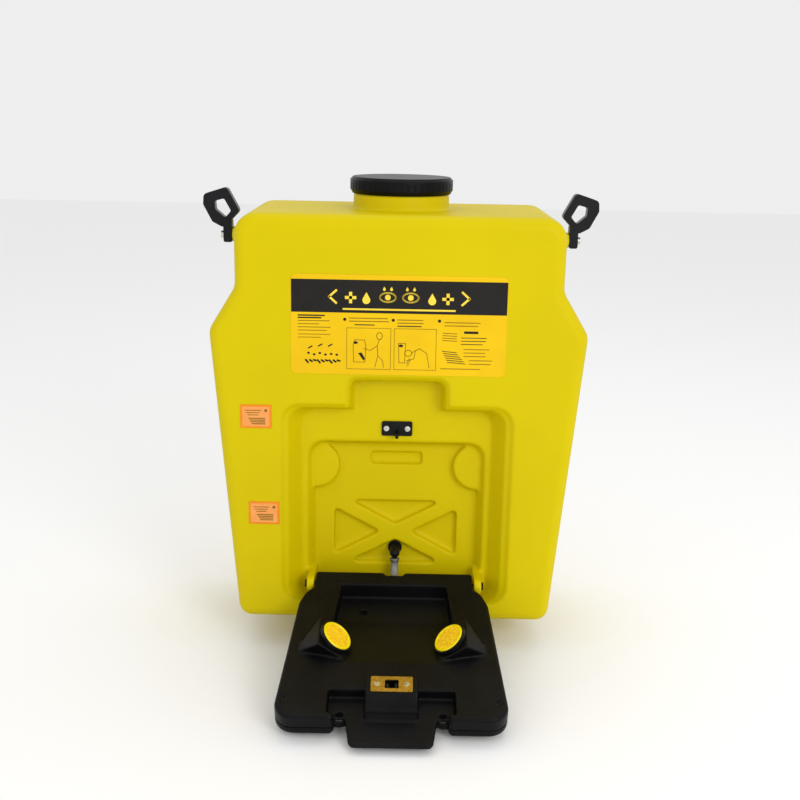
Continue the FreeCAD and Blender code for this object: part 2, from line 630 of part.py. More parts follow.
def head_bore(sign):
    """The bore through a mount and the deck that a spray head's body passes."""
    local = tray_placement().inverse().multiply(head_placement(sign))
    bore = Part.makeCylinder(S.headBodyRadius + S.headFit, S.chamberDepth + 12, V(0, 0, -S.chamberDepth - 6))
    bore.Placement = local
    return bore


def screw_places():
    """Where the tray's two pairs of screws stand: X and Y in the tray's frame."""
    side = [(sign * S.traySideScrewOffset, -S.traySideScrewReach) for sign in (-1, 1)]
    rear = [(sign * S.trayRearScrewOffset, -S.trayRearScrewReach) for sign in (-1, 1)]
    return side, rear


def make_tray_top():
    """Upper tray shell: deck, basin, hollows, catch block, head mounts and hinge ears."""
    outline = tray_outline(False)
    with_tab = tray_outline(True)
    outer = round_at_height(outline_prism(outline, S.partingPlane, S.deckTop), S.deckTop, S.trayEdgeRound)
    wedge = [V(-S.earHalf, S.rearReach - 4, S.rimTop), V(-S.earHalf, S.rearReach, S.rimTop - 3),
             V(-S.earHalf, S.rearReach, S.deckTop - 1), V(-S.earHalf, -S.basinRear - 45, S.deckTop - 1),
             V(-S.earHalf, -S.basinRear - 42, S.deckTop)]
    rim = Part.Face(Part.makePolygon(wedge + wedge[:1])).extrude(V(2 * S.earHalf, 0, 0))
    rim = rim.common(outline_prism(outline, S.deckTop - 1, S.rimTop))
    below = box(-S.trayHalf, S.trayHalf, -S.trayReach, 0, S.trayBottom, S.partingPlane + 1)
    tab_area = box(-S.tabHalf - 1, S.tabHalf + 1, -S.tabReach, -S.notchReach - 1, S.trayBottom, S.deckTop)
    tab = outline_prism(with_tab, S.tabBottom, S.tabTop).common(tab_area)
    root_area = box(-S.lobeInner, S.lobeInner, -S.tabReach, -S.notchReach + 6, S.partingPlane, S.tabTop)
    root = outline_prism(with_tab, S.partingPlane, S.tabTop).common(root_area)
    outer = fused([outer, rim, basin_cutter(S.trayWall).common(below), root, tab]).cut([basin_cutter(0), front_cutter(0)])
    inner_outline = tray_outline(False).makeOffset2D(-S.trayWall)
    inside = outline_prism(inner_outline, S.partingPlane - 1, S.deckTop - S.trayWall)
    inside = inside.cut([basin_cutter(S.trayWall), front_cutter(S.trayWall)])
    shell = outer.cut(inside)
    rear_inside = S.rearReach - S.trayWall + 0.5
    ears = []
    bush = S.pinRadius + S.bushWall
    for sign in (-1, 1):
        start = V(sign * (S.earHalf - S.earLength), 0, 0)
        end = V(sign * S.earHalf, 0, 0)
        ears.append(cylinder(bush + 2.5, start, end))
        x0, x1 = sorted((start.x, sign * (S.earHalf - 1)))
        ears.append(box(x0, x1, -2.5, rear_inside, 0, S.deckTop - 0.5))
    bosses = []
    side, rear = screw_places()
    for x, y in side + rear:
        bosses.append(Part.makeCylinder(S.screwBoss, S.deckTop - S.partingPlane - 1, V(x, y, S.partingPlane)))
    shell = shell.fuse(ears + bosses + [catch_block(0), head_mount(-1), head_mount(1)]).removeSplitter()
    cuts = [head_bore(-1), head_bore(1)]
    for sign in (-1, 1):
        cuts.append(cylinder(bush, V(sign * (S.earHalf - S.earLength - 1), 0, 0), V(sign * (S.earHalf + 6), 0, 0)))
        cuts.append(Part.makeCylinder(S.weepRadius, 20, V(sign * S.weepOffset, -S.weepReach, S.partingPlane - 5)))
    cuts.append(Part.makeCylinder(S.drainRadius, 30, V(-S.drainOffset, -S.drainReach, S.partingPlane - 5)))
    for x, y in side:
        cuts.append(Part.makeCylinder(S.trayScrewRadius + 0.2, 40, V(x, y, S.partingPlane - 1)))
        cuts.append(Part.makeCylinder(S.trayScrewHead + 0.4, 10, V(x, y, S.deckTop - 3.5)))
    for x, y in rear:
        cuts.append(Part.makeCylinder(S.trayScrewRadius, S.deckTop - S.partingPlane - 4, V(x, y, S.partingPlane - 1)))
    latch_y = -S.latchReach
    cuts.append(box(-S.catchWidth / 2, S.catchWidth / 2, latch_y - S.catchLength / 2, latch_y + S.catchLength / 2,
                    S.latchPlane - S.plateThickness - S.catchDepth, S.latchPlane + 1))
    cuts.append(box(-S.plateWidth / 2, S.plateWidth / 2, latch_y - S.plateLength / 2, latch_y + S.plateLength / 2,
                    S.latchPlane - S.plateThickness, S.latchPlane + 1))
    for sign in (-1, 1):
        cuts.append(Part.makeCylinder(S.plateScrewRadius, 14, V(sign * S.plateScrewOffset, latch_y, S.latchPlane - 14)))
    inlet = cylinder(S.hoseBore + 0.5, V(0, 0, S.inletDrop), V(0, S.rearReach + 1, S.inletDrop))
    shaped("tray_top", shell.cut(cuts + [inlet]), tray_placement())


def make_tray_base():
    """Lower tray shell: a pan with screw bosses, drain openings and the pads that stop the tray."""
    outline = tray_outline(False)
    pan = round_at_height(outline_prism(outline, S.trayBottom, S.partingPlane), S.trayBottom, S.trayEdgeRound)
    pan = pan.cut(outline_prism(outline.makeOffset2D(-S.trayWall), S.trayBottom + S.baseWall, S.partingPlane + 1))
    side, rear = screw_places()
    adds = [Part.makeCylinder(S.screwBoss, S.partingPlane - S.trayBottom, V(x, y, S.trayBottom)) for x, y in side + rear]
    for sign in (-1, 1):
        middle = sign * S.stopPadOffset
        adds.append(box(middle - S.stopPadHalf, middle + S.stopPadHalf, -16, -8, stop_pad_level(), S.trayBottom + 1))
        adds.append(Part.makeCylinder(S.weepWell + 2, S.partingPlane - S.trayBottom,
                                      V(sign * S.weepOffset, -S.weepReach, S.trayBottom)))
    drain_top = S.basinFloor - S.trayWall - 0.3
    adds.append(Part.makeCylinder(S.drainRadius + 2, drain_top - S.trayBottom,
                                  V(-S.drainOffset, -S.drainReach, S.trayBottom)))
    pan = pan.fuse(adds).removeSplitter()
    cuts = [Part.makeCylinder(S.drainRadius, 30, V(-S.drainOffset, -S.drainReach, S.trayBottom - 5)),
            cylinder(S.hoseBore + 0.5, V(0, 0, S.inletDrop), V(0, S.rearReach + 1, S.inletDrop))]
    for sign in (-1, 1):
        cuts.append(Part.makeCylinder(S.weepWell, 30, V(sign * S.weepOffset, -S.weepReach, S.trayBottom - 5)))
    for x, y in side:
        cuts.append(Part.makeCylinder(S.trayScrewRadius, 6, V(x, y, S.partingPlane - 5)))
    for x, y in rear:
        cuts.append(Part.makeCylinder(S.trayScrewRadius + 0.2, 30, V(x, y, S.trayBottom - 1)))
        cuts.append(Part.makeCylinder(S.trayScrewHead + 0.4, 4, V(x, y, S.trayBottom - 1)))
    shaped("tray_base", pan.cut(cuts), tray_placement())


def make_tray_screws():
    """Two pairs of tray screws: the front pair from above, the rear pair from below."""
    side, rear = screw_places()
    deck = S.deckTop - 3.5
    front_pair = []
    for x, y in side:
        shank = Part.makeCylinder(S.trayScrewRadius, deck - S.partingPlane + 4, V(x, y, S.partingPlane - 4))
        head = Part.makeCylinder(S.trayScrewHead, 2.2, V(x, y, deck))
        slot = box(x - 0.5, x + 0.5, y - 3, y + 3, deck + 1, deck + 3)
        front_pair.append(shank.fuse(head).removeSplitter().cut(slot))
    rear_pair = []
    seat = S.trayBottom + 3
    for x, y in rear:
        shank = Part.makeCylinder(S.trayScrewRadius, S.deckTop - 5 - seat, V(x, y, seat))
        head = Part.makeCylinder(S.trayScrewHead, 2.2, V(x, y, seat - 2.2))
        rear_pair.append(shank.fuse(head).removeSplitter())
    shaped("tray_front_screws", Part.makeCompound(front_pair), tray_placement())
    shaped("tray_rear_screws", Part.makeCompound(rear_pair), tray_placement())


# ---------------------------------------------------------------- hinge
def make_hinge():
    """Headed steel pins in the tank's lugs, and bushes pressed in the tray's ears that turn on them."""
    axis_y = front() + S.hingeSetback
    for side, sign in SIDES:
        outer = S.lugInner + S.lugThickness
        inner = S.earHalf - S.earLength
        shank = cylinder(S.pinRadius, V(sign * inner, axis_y, S.hingeHeight), V(sign * outer, axis_y, S.hingeHeight))
        head = cylinder(S.pinHeadRadius, V(sign * outer, axis_y, S.hingeHeight),
                        V(sign * (outer + S.pinHeadHeight), axis_y, S.hingeHeight))
        shaped("hinge_pin_" + side, shank.fuse(head).removeSplitter())
    for side, sign in SIDES:
        body = new_body("hinge_bush_" + side)
        offset = "sizes.earHalf - sizes.earLength" if sign > 0 else "-sizes.earHalf"
        sketch = sketch_on(body, "YZ_Plane", offset)
        circle(sketch, "0", "0", "sizes.pinRadius + sizes.bushWall")
        circle(sketch, "0", "0", "sizes.pinRadius + sizes.pinFit")
        pad(body, sketch, "sizes.earLength")
        ride_tray(body)
        keep(body, "hinge_bush_" + side)


# ---------------------------------------------------------------- spray heads
def make_spray_heads():
    """Each head: a cup with a side barb, a seal under its flange, a ring insert and a foam filter."""
    for side, sign in SIDES:
        place = head_placement(sign)
        lift = S.sealThickness
        flange = Part.makeCylinder(S.headFlangeRadius, S.headFlangeHeight, V(0, 0, lift))
        stem = Part.makeCylinder(S.headBodyRadius, S.headBodyDepth + lift, V(0, 0, -S.headBodyDepth))
        chamber = Part.makeCylinder(S.chamberRadius, S.chamberDepth, V(0, 0, -S.chamberDepth))
        cup = fused([flange, stem, chamber])
        local = tray_placement().inverse().multiply(place)
        barb_start = local.multVec(V(0, 0, barb_level()))
        barb_length = S.chamberRadius + S.barbReach
        barb = cylinder(S.barbRadius, barb_start, barb_start.add(V(0, barb_length, 0)))
        barb_bore = cylinder(S.barbRadius - 1.5, barb_start, barb_start.add(V(0, barb_length + 1, 0)))
        barb.Placement = local.inverse().multiply(barb.Placement)
        barb_bore.Placement = local.inverse().multiply(barb_bore.Placement)
        mouth = Part.makeCylinder(S.ringRadius + 0.1, S.headFlangeHeight, V(0, 0, lift + S.headFloor))
        throat = Part.makeCylinder(S.chamberRadius - 3, S.chamberDepth, V(0, 0, -S.chamberDepth + 2))
        head = cup.fuse(barb).removeSplitter().cut([mouth, throat, barb_bore])
        shaped("spray_head_" + side, head, place)
        body = new_body("head_seal_" + side)
        sketch = sketch_on(body, "XY_Plane")
        circle(sketch, "0", "0", "sizes.headFlangeRadius - 1")
        circle(sketch, "0", "0", "sizes.headBodyRadius + sizes.headFit")
        pad(body, sketch, "sizes.sealThickness")
        keep(body, "head_seal_" + side, place)
        seat = "sizes.sealThickness + sizes.headFloor"
        ring = lathe("spray_ring_" + side, [
            ("sizes.ringInner", seat), ("sizes.ringRadius", seat), ("sizes.ringRadius", seat + " + sizes.ringHeight - 1"),
            ("sizes.ringRadius - 1", seat + " + sizes.ringHeight"), ("sizes.ringInner + 1", seat + " + sizes.ringHeight"),
            ("sizes.ringInner", seat + " + sizes.ringHeight - 1")])
        keep(ring, "spray_ring_" + side, place)
        foam = lathe("filter_foam_" + side, [
            ("0", seat), ("sizes.ringInner - 0.1", seat), ("sizes.ringInner - 0.1", seat + " + sizes.foamHeight"),
            ("0", seat + " + sizes.foamHeight + 0.4")])
        keep(foam, "filter_foam_" + side, place)


# ---------------------------------------------------------------- water path
def hose_along(edges, radius, bore):
    """A hose swept along joined runs and arcs, with its bore."""
    wire = Part.Wire(edges)
    start = edges[0].valueAt(edges[0].FirstParameter)
    heading = edges[0].tangentAt(edges[0].FirstParameter)
    skins = []
    for size in (radius, bore):
        ring = Part.Wire([Part.makeCircle(size, start, heading)])
        skins.append(wire.makePipeShell([ring], True, True))
    return skins[0].cut(skins[1])


def bend(start, heading, turn_axis, radius, angle):
    """A tangent arc from a point: its edge, its end and the heading there."""
    side = turn_axis.cross(heading).normalize()
    centre = start.add(side * radius)
    points = []
    for share in (0.5, 1.0):
        spin = FreeCAD.Rotation(turn_axis, angle * share)
        points.append(centre.add(spin.multVec(start.sub(centre))))
    end_heading = FreeCAD.Rotation(turn_axis, angle).multVec(heading)
    return Part.Arc(start, points[0], points[1]).toShape(), points[1], end_heading


def inlet_tip():
    """World place of the open end of the tray's inlet barb."""
    return tray_placement().multVec(V(0, S.inletReach, S.inletDrop))


def supply_route():
    """The supply hose's path, from the outlet elbow down and round into the tray's inlet."""
    turn = 90 - S.trayDroop
    tip = inlet_tip()
    drop = S.hoseBend * math.sin(math.radians(turn))
    back = S.hoseBend * (1 - math.cos(math.radians(turn)))
    bend_start = V(0, tip.y + back, tip.z + drop)
    top = V(0, bend_start.y, S.outletHeight - S.elbowRadius - 1)
    run = Part.LineSegment(top, bend_start).toShape()
    arc, end, heading = bend(bend_start, V(0, 0, -1), V(-1, 0, 0), S.hoseBend, turn)
    last = end.add(heading * (S.inletReach - S.rearReach + 2))
    return [run, arc, Part.LineSegment(end, last).toShape()], top, bend_start


def make_water_path():
    """Outlet fitting in the tank wall, supply hose over the hinge, tee and branch hoses in the tray."""
    route, top, bend_start = supply_route()
    floor = front() + S.floorDepth + S.braceDepth
    height = S.outletHeight
    flange = cylinder(S.outletFlange, V(0, floor - S.gasketThickness - 3, height), V(0, floor - S.gasketThickness, height))
    arm = cylinder(S.elbowRadius, V(0, top.y, height), V(0, floor - S.gasketThickness, height))
    nose = Part.makeSphere(S.elbowRadius, V(0, top.y, height))
    stub = cylinder(S.outletStub, V(0, floor - S.gasketThickness, height),
                    V(0, floor + S.tankWall + S.nutHeight + 2, height))
    barb = cylinder(S.hoseBore, V(0, top.y, height), V(0, top.y, bend_start.z + 0.3))
    bores = [cylinder(S.hoseBore - 1.5, V(0, top.y, height), V(0, floor + 40, height)),
             cylinder(S.hoseBore - 1.5, V(0, top.y, height), V(0, top.y, top.z - 12))]
    shaped("outlet_elbow", fused([flange, arm, nose, stub, barb]).cut(bores))
    inner_face = floor + S.tankWall
    nut = Part.makePolygon([V(S.nutRadius * math.cos(math.radians(a)), inner_face, height + S.nutRadius
                              * math.sin(math.radians(a))) for a in range(0, 361, 60)])
    nut = Part.Face(nut).extrude(V(0, S.nutHeight, 0))
    shaped("outlet_nut", nut.cut(cylinder(S.outletStub, V(0, inner_face - 1, height), V(0, inner_face + 20, height))))
    gasket = cylinder(S.outletFlange, V(0, floor - S.gasketThickness, height), V(0, floor, height))
    shaped("outlet_gasket", gasket.cut(cylinder(S.outletStub, V(0, floor - 5, height), V(0, floor + 5, height))))
    hose = hose_along(route, S.hoseRadius, S.hoseBore)
    shaped("supply_hose", hose)
    width = S.supplyClipWidth
    clip = Part.makeCylinder(S.hoseRadius + S.clipWall, width, V(0, top.y, top.z - 1 - width))
    clip = clip.cut(Part.makeCylinder(S.hoseRadius, width + 2, V(0, top.y, top.z - 2 - width)))
    shaped("supply_hose_clip", clip)
    make_tray_water_path()


def make_tray_water_path():
    """The tee behind the tray's rear wall and the two branch hoses to the heads."""
    drop = S.inletDrop
    back = -S.teeSetback
    wall = S.rearReach - S.hoseNotchDepth - S.trayWall
    parts = [cylinder(S.teeRadius, V(0, back, drop), V(0, wall - 0.2, drop)),
             cylinder(S.hoseBore, V(0, back, drop), V(0, S.inletReach, drop)),
             cylinder(S.teeRadius, V(-S.teeArm, back, drop), V(S.teeArm, back, drop)),
             cylinder(S.barbRadius, V(-S.teeArm - 14, back, drop), V(S.teeArm + 14, back, drop))]
    bores = [cylinder(S.barbRadius - 1.5, V(0, back, drop), V(0, S.inletReach + 1, drop)),
             cylinder(S.barbRadius - 1.5, V(-S.teeArm - 15, back, drop), V(S.teeArm + 15, back, drop))]
    shaped("inlet_tee", fused(parts).cut(bores), tray_placement())
    clips = []
    for side, sign in SIDES:
        local = tray_placement().inverse().multiply(head_placement(sign))
        barb = local.multVec(V(0, 0, barb_level()))
        start = V(sign * S.teeArm, back, drop)
        corner = V(barb.x - sign * S.branchBend, back, drop)
        arc, end, heading = bend(corner, V(sign, 0, 0), V(0, 0, -sign), S.branchBend, 90)
        reach = barb.y + S.chamberRadius + 1
        last = V(end.x, reach, drop)
        edges = [Part.LineSegment(start, corner).toShape(), arc, Part.LineSegment(end, last).toShape()]
        hose = hose_along(edges, S.barbRadius + 1.5, S.barbRadius)
        shaped("branch_hose_" + side, hose, tray_placement())
        for place, along in ((V(sign * (S.teeArm + 3), back, drop), V(sign, 0, 0)), (V(end.x, reach + 3, drop), Y_AXIS)):
            outer = cylinder(S.barbRadius + 1.5 + S.clipWall, place, place.add(along * S.clipWidth))
            clips.append(outer.cut(cylinder(S.barbRadius + 1.5, place.sub(along), place.add(along * (S.clipWidth + 1)))))
    shaped("branch_hose_clips", Part.makeCompound(clips), tray_placement())


# ---------------------------------------------------------------- catch and strike
def strike_screw_x():
    return S.strikeWidth / 2 - 7


def strike_centre():
    """Height of the middle of the strike plate, a little above its spear."""
    return spear_height() + S.spearDrop


def make_strike():
    """Strike plate with a spear for the roller catch, screwed to the recess's shelf."""
    back = front() + S.shelfDepth
    face = back - S.strikeThickness
    middle = strike_centre()
    half = S.strikeWidth / 2
    rise = S.strikeHeight / 2
    points = [V(-half, face, middle - rise), V(half, face, middle - rise), V(half, face, middle + rise),
              V(-half, face, middle + rise)]
    plate = Part.Face(rounded_wire(points, [3.0] * 4)).extrude(V(0, S.strikeThickness, 0))
    height = spear_height()
    tip = face - S.spearReach
    neck_box = box(-S.spearNeck / 2, S.spearNeck / 2, tip + 3, face + 1, height - S.spearHeight / 2,
                   height + S.spearHeight / 2)
    head_points = [V(-S.spearHead / 2, tip + 2.5, 0), V(-S.spearNeck / 2, tip + 4, 0), V(S.spearNeck / 2, tip + 4, 0),
                   V(S.spearHead / 2, tip + 2.5, 0), V(0.8, tip, 0), V(-0.8, tip, 0)]
    head = Part.Face(Part.makePolygon(head_points + head_points[:1]))
    head.translate(V(0, 0, height - S.spearHeight / 2))
    head = head.extrude(V(0, 0, S.spearHeight))
    strike = fused([plate, neck_box, head])
    screws = []
    for x in (-strike_screw_x(), strike_screw_x()):
        strike = strike.cut([cylinder(S.plateScrewRadius, V(x, face - 1, middle), V(x, back + 1, middle)),
                             cylinder(S.plateScrewHead + 0.1, V(x, face - 1, middle), V(x, face + 1.6, middle))])
        shank = cylinder(1.4, V(x, face + 1, middle), V(x, back + S.tankWall - 2, middle))
        head = cylinder(S.plateScrewHead, V(x, face + 0.1, middle), V(x, face + 1.6, middle))
        cross = box(x - 2, x + 2, face - 1, face + 0.8, middle - 0.4, middle + 0.4)
        screws.append(shank.fuse(head).removeSplitter().cut([cross, cross.rotated(V(x, face, middle), Y_AXIS, 90)]))
    shaped("strike_plate", strike)
    shaped("strike_screws", Part.makeCompound(screws))


def make_catch():
    """Twin-roller catch let into the tray's block: case, face plate, rollers and their springs."""
    place = tray_placement()
    y = -S.latchReach
    top = S.latchPlane - S.plateThickness
    half = S.catchWidth / 2
    long_half = S.catchLength / 2
    wall = S.catchWall
    case = box(-half, half, y - long_half, y + long_half, top - S.catchDepth, top)
    case = case.cut(box(-half + wall, half - wall, y - long_half + wall, y + long_half - wall,
                        top - S.catchDepth + wall, top + 1))
    shaped("catch_case", case, place)
    body = new_body("catch_plate")
    sketch = sketch_on(body, "XY_Plane", "sizes.latchPlane - sizes.plateThickness")
    rectangle(sketch, "-sizes.plateWidth/2", "sizes.plateWidth/2", "-sizes.latchReach - sizes.plateLength/2",
              "-sizes.latchReach + sizes.plateLength/2")
    pad(body, sketch, "sizes.plateThickness")
    round_edges(body, "sizes.plateThickness", runs_along(Z_AXIS))
    opening = sketch_on(body, "XY_Plane", "sizes.latchPlane")
    rectangle(opening, "-sizes.openingWidth/2", "sizes.openingWidth/2", "-sizes.latchReach - sizes.openingLength/2",
              "-sizes.latchReach + sizes.openingLength/2")
    for offset in ("-sizes.plateScrewOffset", "sizes.plateScrewOffset"):
        circle(opening, offset, "-sizes.latchReach", "sizes.plateScrewRadius + 0.2")
    pocket(body, opening, "sizes.plateThickness + 1")
    seats = sketch_on(body, "XY_Plane", "sizes.latchPlane")
    for offset in ("-sizes.plateScrewOffset", "sizes.plateScrewOffset"):
        circle(seats, offset, "-sizes.latchReach", "sizes.plateScrewHead + 0.1")
    pocket(body, seats, "sizes.plateThickness - 0.5")
    ride_tray(body)
    keep(body, "catch_plate")
    screws = []
    for x in (-S.plateScrewOffset, S.plateScrewOffset):
        seat = S.latchPlane - S.plateThickness + 0.5
        shank = Part.makeCylinder(S.plateScrewRadius, 12, V(x, y, seat - 12))
        head = Part.makeCylinder(S.plateScrewHead, S.plateThickness - 0.6, V(x, y, seat))
        cross = box(x - 2, x + 2, y - 0.4, y + 0.4, seat + 0.5, seat + 3)
        screws.append(shank.fuse(head).removeSplitter().cut([cross, cross.rotated(V(x, y, 0), Z_AXIS, 90)]))
    shaped("catch_screws", Part.makeCompound(screws), place)
    for side, sign in SIDES:
        body = new_body("catch_roller_" + side)
        sketch = sketch_on(body, "XZ_Plane", "sizes.latchReach - sizes.jawLength/2")
        circle(sketch, ("" if sign > 0 else "-") + "sizes.jawOffset", "sizes.latchPlane - sizes.jawSink",
               "sizes.jawRadius")
        pad(body, sketch, "sizes.jawLength")
        ride_tray(body)
        keep(body, "catch_roller_" + side)
        start = V(sign * (S.jawOffset + S.jawRadius), y, S.latchPlane - S.jawSink)
        end = V(sign * (half - wall), y, S.latchPlane - S.jawSink)
        coil = cylinder(2.2, start, end).cut(cylinder(1.5, start, end))
        shaped("roller_spring_" + side, coil, place)


# ---------------------------------------------------------------- labels
def make_labels():
    """Thin labels on the tank's front face."""
    face = front() - S.labelThickness
    wire = rounded_rectangle(S.labelHalf, S.labelBottom, S.labelTop, S.labelRound, face)
    shaped("instruction_label", Part.Face(wire).extrude(V(0, S.labelThickness, 0)))
    for name in ("upper", "lower"):
        body = new_body("inspection_sticker_" + name)
        sketch = sketch_on(body, "XZ_Plane", "sizes.tankDepth/2")
        x = "sizes.%sStickerX" % name
        z = "sizes.%sStickerZ" % name
        rectangle(sketch, x + " - sizes.stickerWidth/2", x + " + sizes.stickerWidth/2",
                  z + " - sizes.stickerHeight/2", z + " + sizes.stickerHeight/2")
        pad(body, sketch, "sizes.labelThickness")
        keep(body, "inspection_sticker_" + name)


# ---------------------------------------------------------------- build and write
def check_document():
    """Stop if any object failed, or any sub-part is empty or not valid."""
    doc.recompute()
    for obj in doc.Objects:
        if "Invalid" in obj.State or "Error" in obj.State:
            raise ValueError("%s failed: %s" % (obj.Label, obj.State))
    for obj in nodes:
        if obj.Shape.isNull() or not obj.Shape.isValid() or not obj.Shape.Solids:
            raise ValueError("%s has no valid solid" % obj.Label)


def main():
    make_tank()
    make_cap()
    make_eyes()
    make_tray_top()
    make_tray_base()
    make_tray_screws()
    make_hinge()
    make_spray_heads()
    make_water_path()
    make_strike()
    make_catch()
    make_labels()
    check_document()
    os.makedirs("parts", exist_ok=True)
    for obj in nodes:
        obj.Shape.exportStep(os.path.join("parts", obj.Label + ".step"))
        size = obj.Shape.BoundBox
        print("%-26s %2d solid(s) %9.0f mm3  x %.0f..%.0f y %.0f..%.0f z %.0f..%.0f" % (
            obj.Label, len(obj.Shape.Solids), obj.Shape.Volume, size.XMin, size.XMax, size.YMin, size.YMax,
            size.ZMin, size.ZMax))


main()
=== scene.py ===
"""Looks of a portable gravity-fed eyewash station: yellow moulded tank, fold-down tray, two spray heads.

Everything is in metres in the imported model's frame: origin at the centre of the tank's base, +Z up, the user
at -Y. Only the printing is laid out in millimetres, as X and Z on the tank's front.
"""

import logging
import math
from dataclasses import dataclass, field
from enum import Enum
from typing import Any, Iterable, Optional, Sequence

import bmesh
import bpy
from mathutils import Matrix, Vector

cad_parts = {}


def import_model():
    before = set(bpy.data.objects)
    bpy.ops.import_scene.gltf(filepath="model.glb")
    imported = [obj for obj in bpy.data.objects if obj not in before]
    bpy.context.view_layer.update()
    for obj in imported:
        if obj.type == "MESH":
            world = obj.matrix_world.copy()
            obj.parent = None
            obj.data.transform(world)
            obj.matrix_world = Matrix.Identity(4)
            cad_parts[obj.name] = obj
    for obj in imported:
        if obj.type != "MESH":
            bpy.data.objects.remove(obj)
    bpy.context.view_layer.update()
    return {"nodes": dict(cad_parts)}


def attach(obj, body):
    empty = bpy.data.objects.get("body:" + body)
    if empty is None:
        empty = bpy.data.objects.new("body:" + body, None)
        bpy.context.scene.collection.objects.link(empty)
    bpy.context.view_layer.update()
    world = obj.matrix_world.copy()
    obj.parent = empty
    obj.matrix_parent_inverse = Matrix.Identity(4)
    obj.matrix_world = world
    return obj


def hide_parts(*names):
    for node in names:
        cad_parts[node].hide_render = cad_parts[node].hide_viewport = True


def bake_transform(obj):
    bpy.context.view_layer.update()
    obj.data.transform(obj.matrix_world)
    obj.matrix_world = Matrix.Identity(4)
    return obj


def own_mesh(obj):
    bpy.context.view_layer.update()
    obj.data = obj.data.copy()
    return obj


frame: dict[str, Any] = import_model()
log = logging.getLogger("eyewash")

MM = 0.001
INK_LIFT = 0.12 * MM
DUST_NOISE = 240.0
TARNISH_NOISE = 180.0
HAZE_NOISE = 160.0
Point = tuple[float, float]


class Body(Enum):
    """The rigid bodies that pieces ride on."""

    TANK = "tank_body"
    TRAY = "tray"
    CAP = "cap"
    LINER = "liner"


def linear(code: str, alpha: float = 1.0) -> tuple[float, float, float, float]:
    """Turn an sRGB hex value such as "E0C400" into a linear colour.

    Args:
        code: six hex digits.
        alpha: the fourth value.

    Returns:
        The linear colour with alpha.
    """
    parts = []
    for start in (0, 2, 4):
        value = int(code[start:start + 2], 16) / 255.0
        parts.append(value / 12.92 if value <= 0.04045 else ((value + 0.055) / 1.055) ** 2.4)
    return (parts[0], parts[1], parts[2], alpha)


def per_metre(size_mm: float) -> float:
    """The noise scale that draws features of a real size in millimetres."""
    return 1.0 / MM / size_mm


def add_node(tree: bpy.types.NodeTree, kind: str, links: Optional[dict[str, Any]] = None,
             **settings: Any) -> bpy.types.Node:
    """Add one node with its settings, input values and links.

    Args:
        tree: the node tree.
        kind: the node's type name.
        links: input name or index to an output socket that feeds it, or to a plain value.
        settings: properties of the node itself.

    Returns:
        The new node.
    """
    node = tree.nodes.new(kind)
    for name, value in settings.items():
        setattr(node, name, value)
    for key, source in (links or {}).items():
        socket = node.inputs[key]
        if isinstance(source, bpy.types.NodeSocket):
            tree.links.new(source, socket)
        else:
            socket.default_value = source
    return node


# ------------------------------------------------------------------ finishes
@dataclass(frozen=True)
class Moulded:
    """A moulded plastic or rubber: slow colour variation, fine grain, long ripples and settled dust.

    The grain sizes are real sizes in millimetres; one finer than about 1 mm is drawn at 1 mm or more so
    that it shows.
    """

    name: str
    base: str
    deep: str
    rough: float
    rough_spread: float
    grain_mm: float
    grain_depth: float
    blotch_mm: float = 90.0
    ripple_mm: float = 0.0
    ripple_depth: float = 0.0
    specular: float = 0.5
    sheen: float = 0.0
    dust: str = ""
    dust_amount: float = 0.0

    def make(self) -> bpy.types.Material:
        """Build the material.

        Returns:
            The material.
        """
        mat = bpy.data.materials.new(self.name)
        mat.use_nodes = True
        tree = mat.node_tree
        tree.nodes.clear()
        spot = add_node(tree, "ShaderNodeTexCoord").outputs["Object"]
        blotch = add_node(tree, "ShaderNodeTexNoise", {
            "Vector": spot, "Scale": per_metre(self.blotch_mm), "Detail": 3.0})
        grain = add_node(tree, "ShaderNodeTexNoise", {
            "Vector": spot, "Scale": per_metre(self.grain_mm), "Detail": 4.0, "Roughness": 0.6})
        ramp = add_node(tree, "ShaderNodeValToRGB", {"Fac": blotch.outputs["Fac"]})
        ramp.color_ramp.elements[0].position = 0.35
        ramp.color_ramp.elements[0].color = linear(self.deep)
        ramp.color_ramp.elements[1].position = 0.65
        ramp.color_ramp.elements[1].color = linear(self.base)
        colour = ramp.outputs["Color"]
        if self.dust:
            fine = add_node(tree, "ShaderNodeTexNoise", {"Vector": spot, "Scale": DUST_NOISE, "Detail": 6.0})
            cover = add_node(tree, "ShaderNodeMapRange", {
                "Value": fine.outputs["Fac"], "From Min": 0.52, "From Max": 0.75, "To Max": self.dust_amount})
            mixed = add_node(tree, "ShaderNodeMix", {
                "Factor": cover.outputs["Result"], 6: colour, 7: linear(self.dust)}, data_type="RGBA")
            colour = mixed.outputs[2]
        rough = add_node(tree, "ShaderNodeMapRange", {
            "Value": grain.outputs["Fac"], "From Min": 0.3, "From Max": 0.7,
            "To Min": self.rough - self.rough_spread, "To Max": self.rough + self.rough_spread})
        bump = add_node(tree, "ShaderNodeBump", {
            "Height": grain.outputs["Fac"], "Distance": self.grain_depth * MM, "Strength": 1.0})
        normal = bump.outputs["Normal"]
        if self.ripple_mm > 0:
            wave = add_node(tree, "ShaderNodeTexNoise", {
                "Vector": spot, "Scale": per_metre(self.ripple_mm), "Detail": 1.0})
            soft = add_node(tree, "ShaderNodeBump", {
                "Height": wave.outputs["Fac"], "Normal": normal, "Distance": self.ripple_depth * MM,
                "Strength": 1.0})
            normal = soft.outputs["Normal"]
        shader = add_node(tree, "ShaderNodeBsdfPrincipled", {
            "Base Color": colour, "Roughness": rough.outputs["Result"], "Normal": normal,
            "Specular IOR Level": self.specular, "Sheen Weight": self.sheen})
        add_node(tree, "ShaderNodeOutputMaterial", {"Surface": shader.outputs["BSDF"]})
        return mat


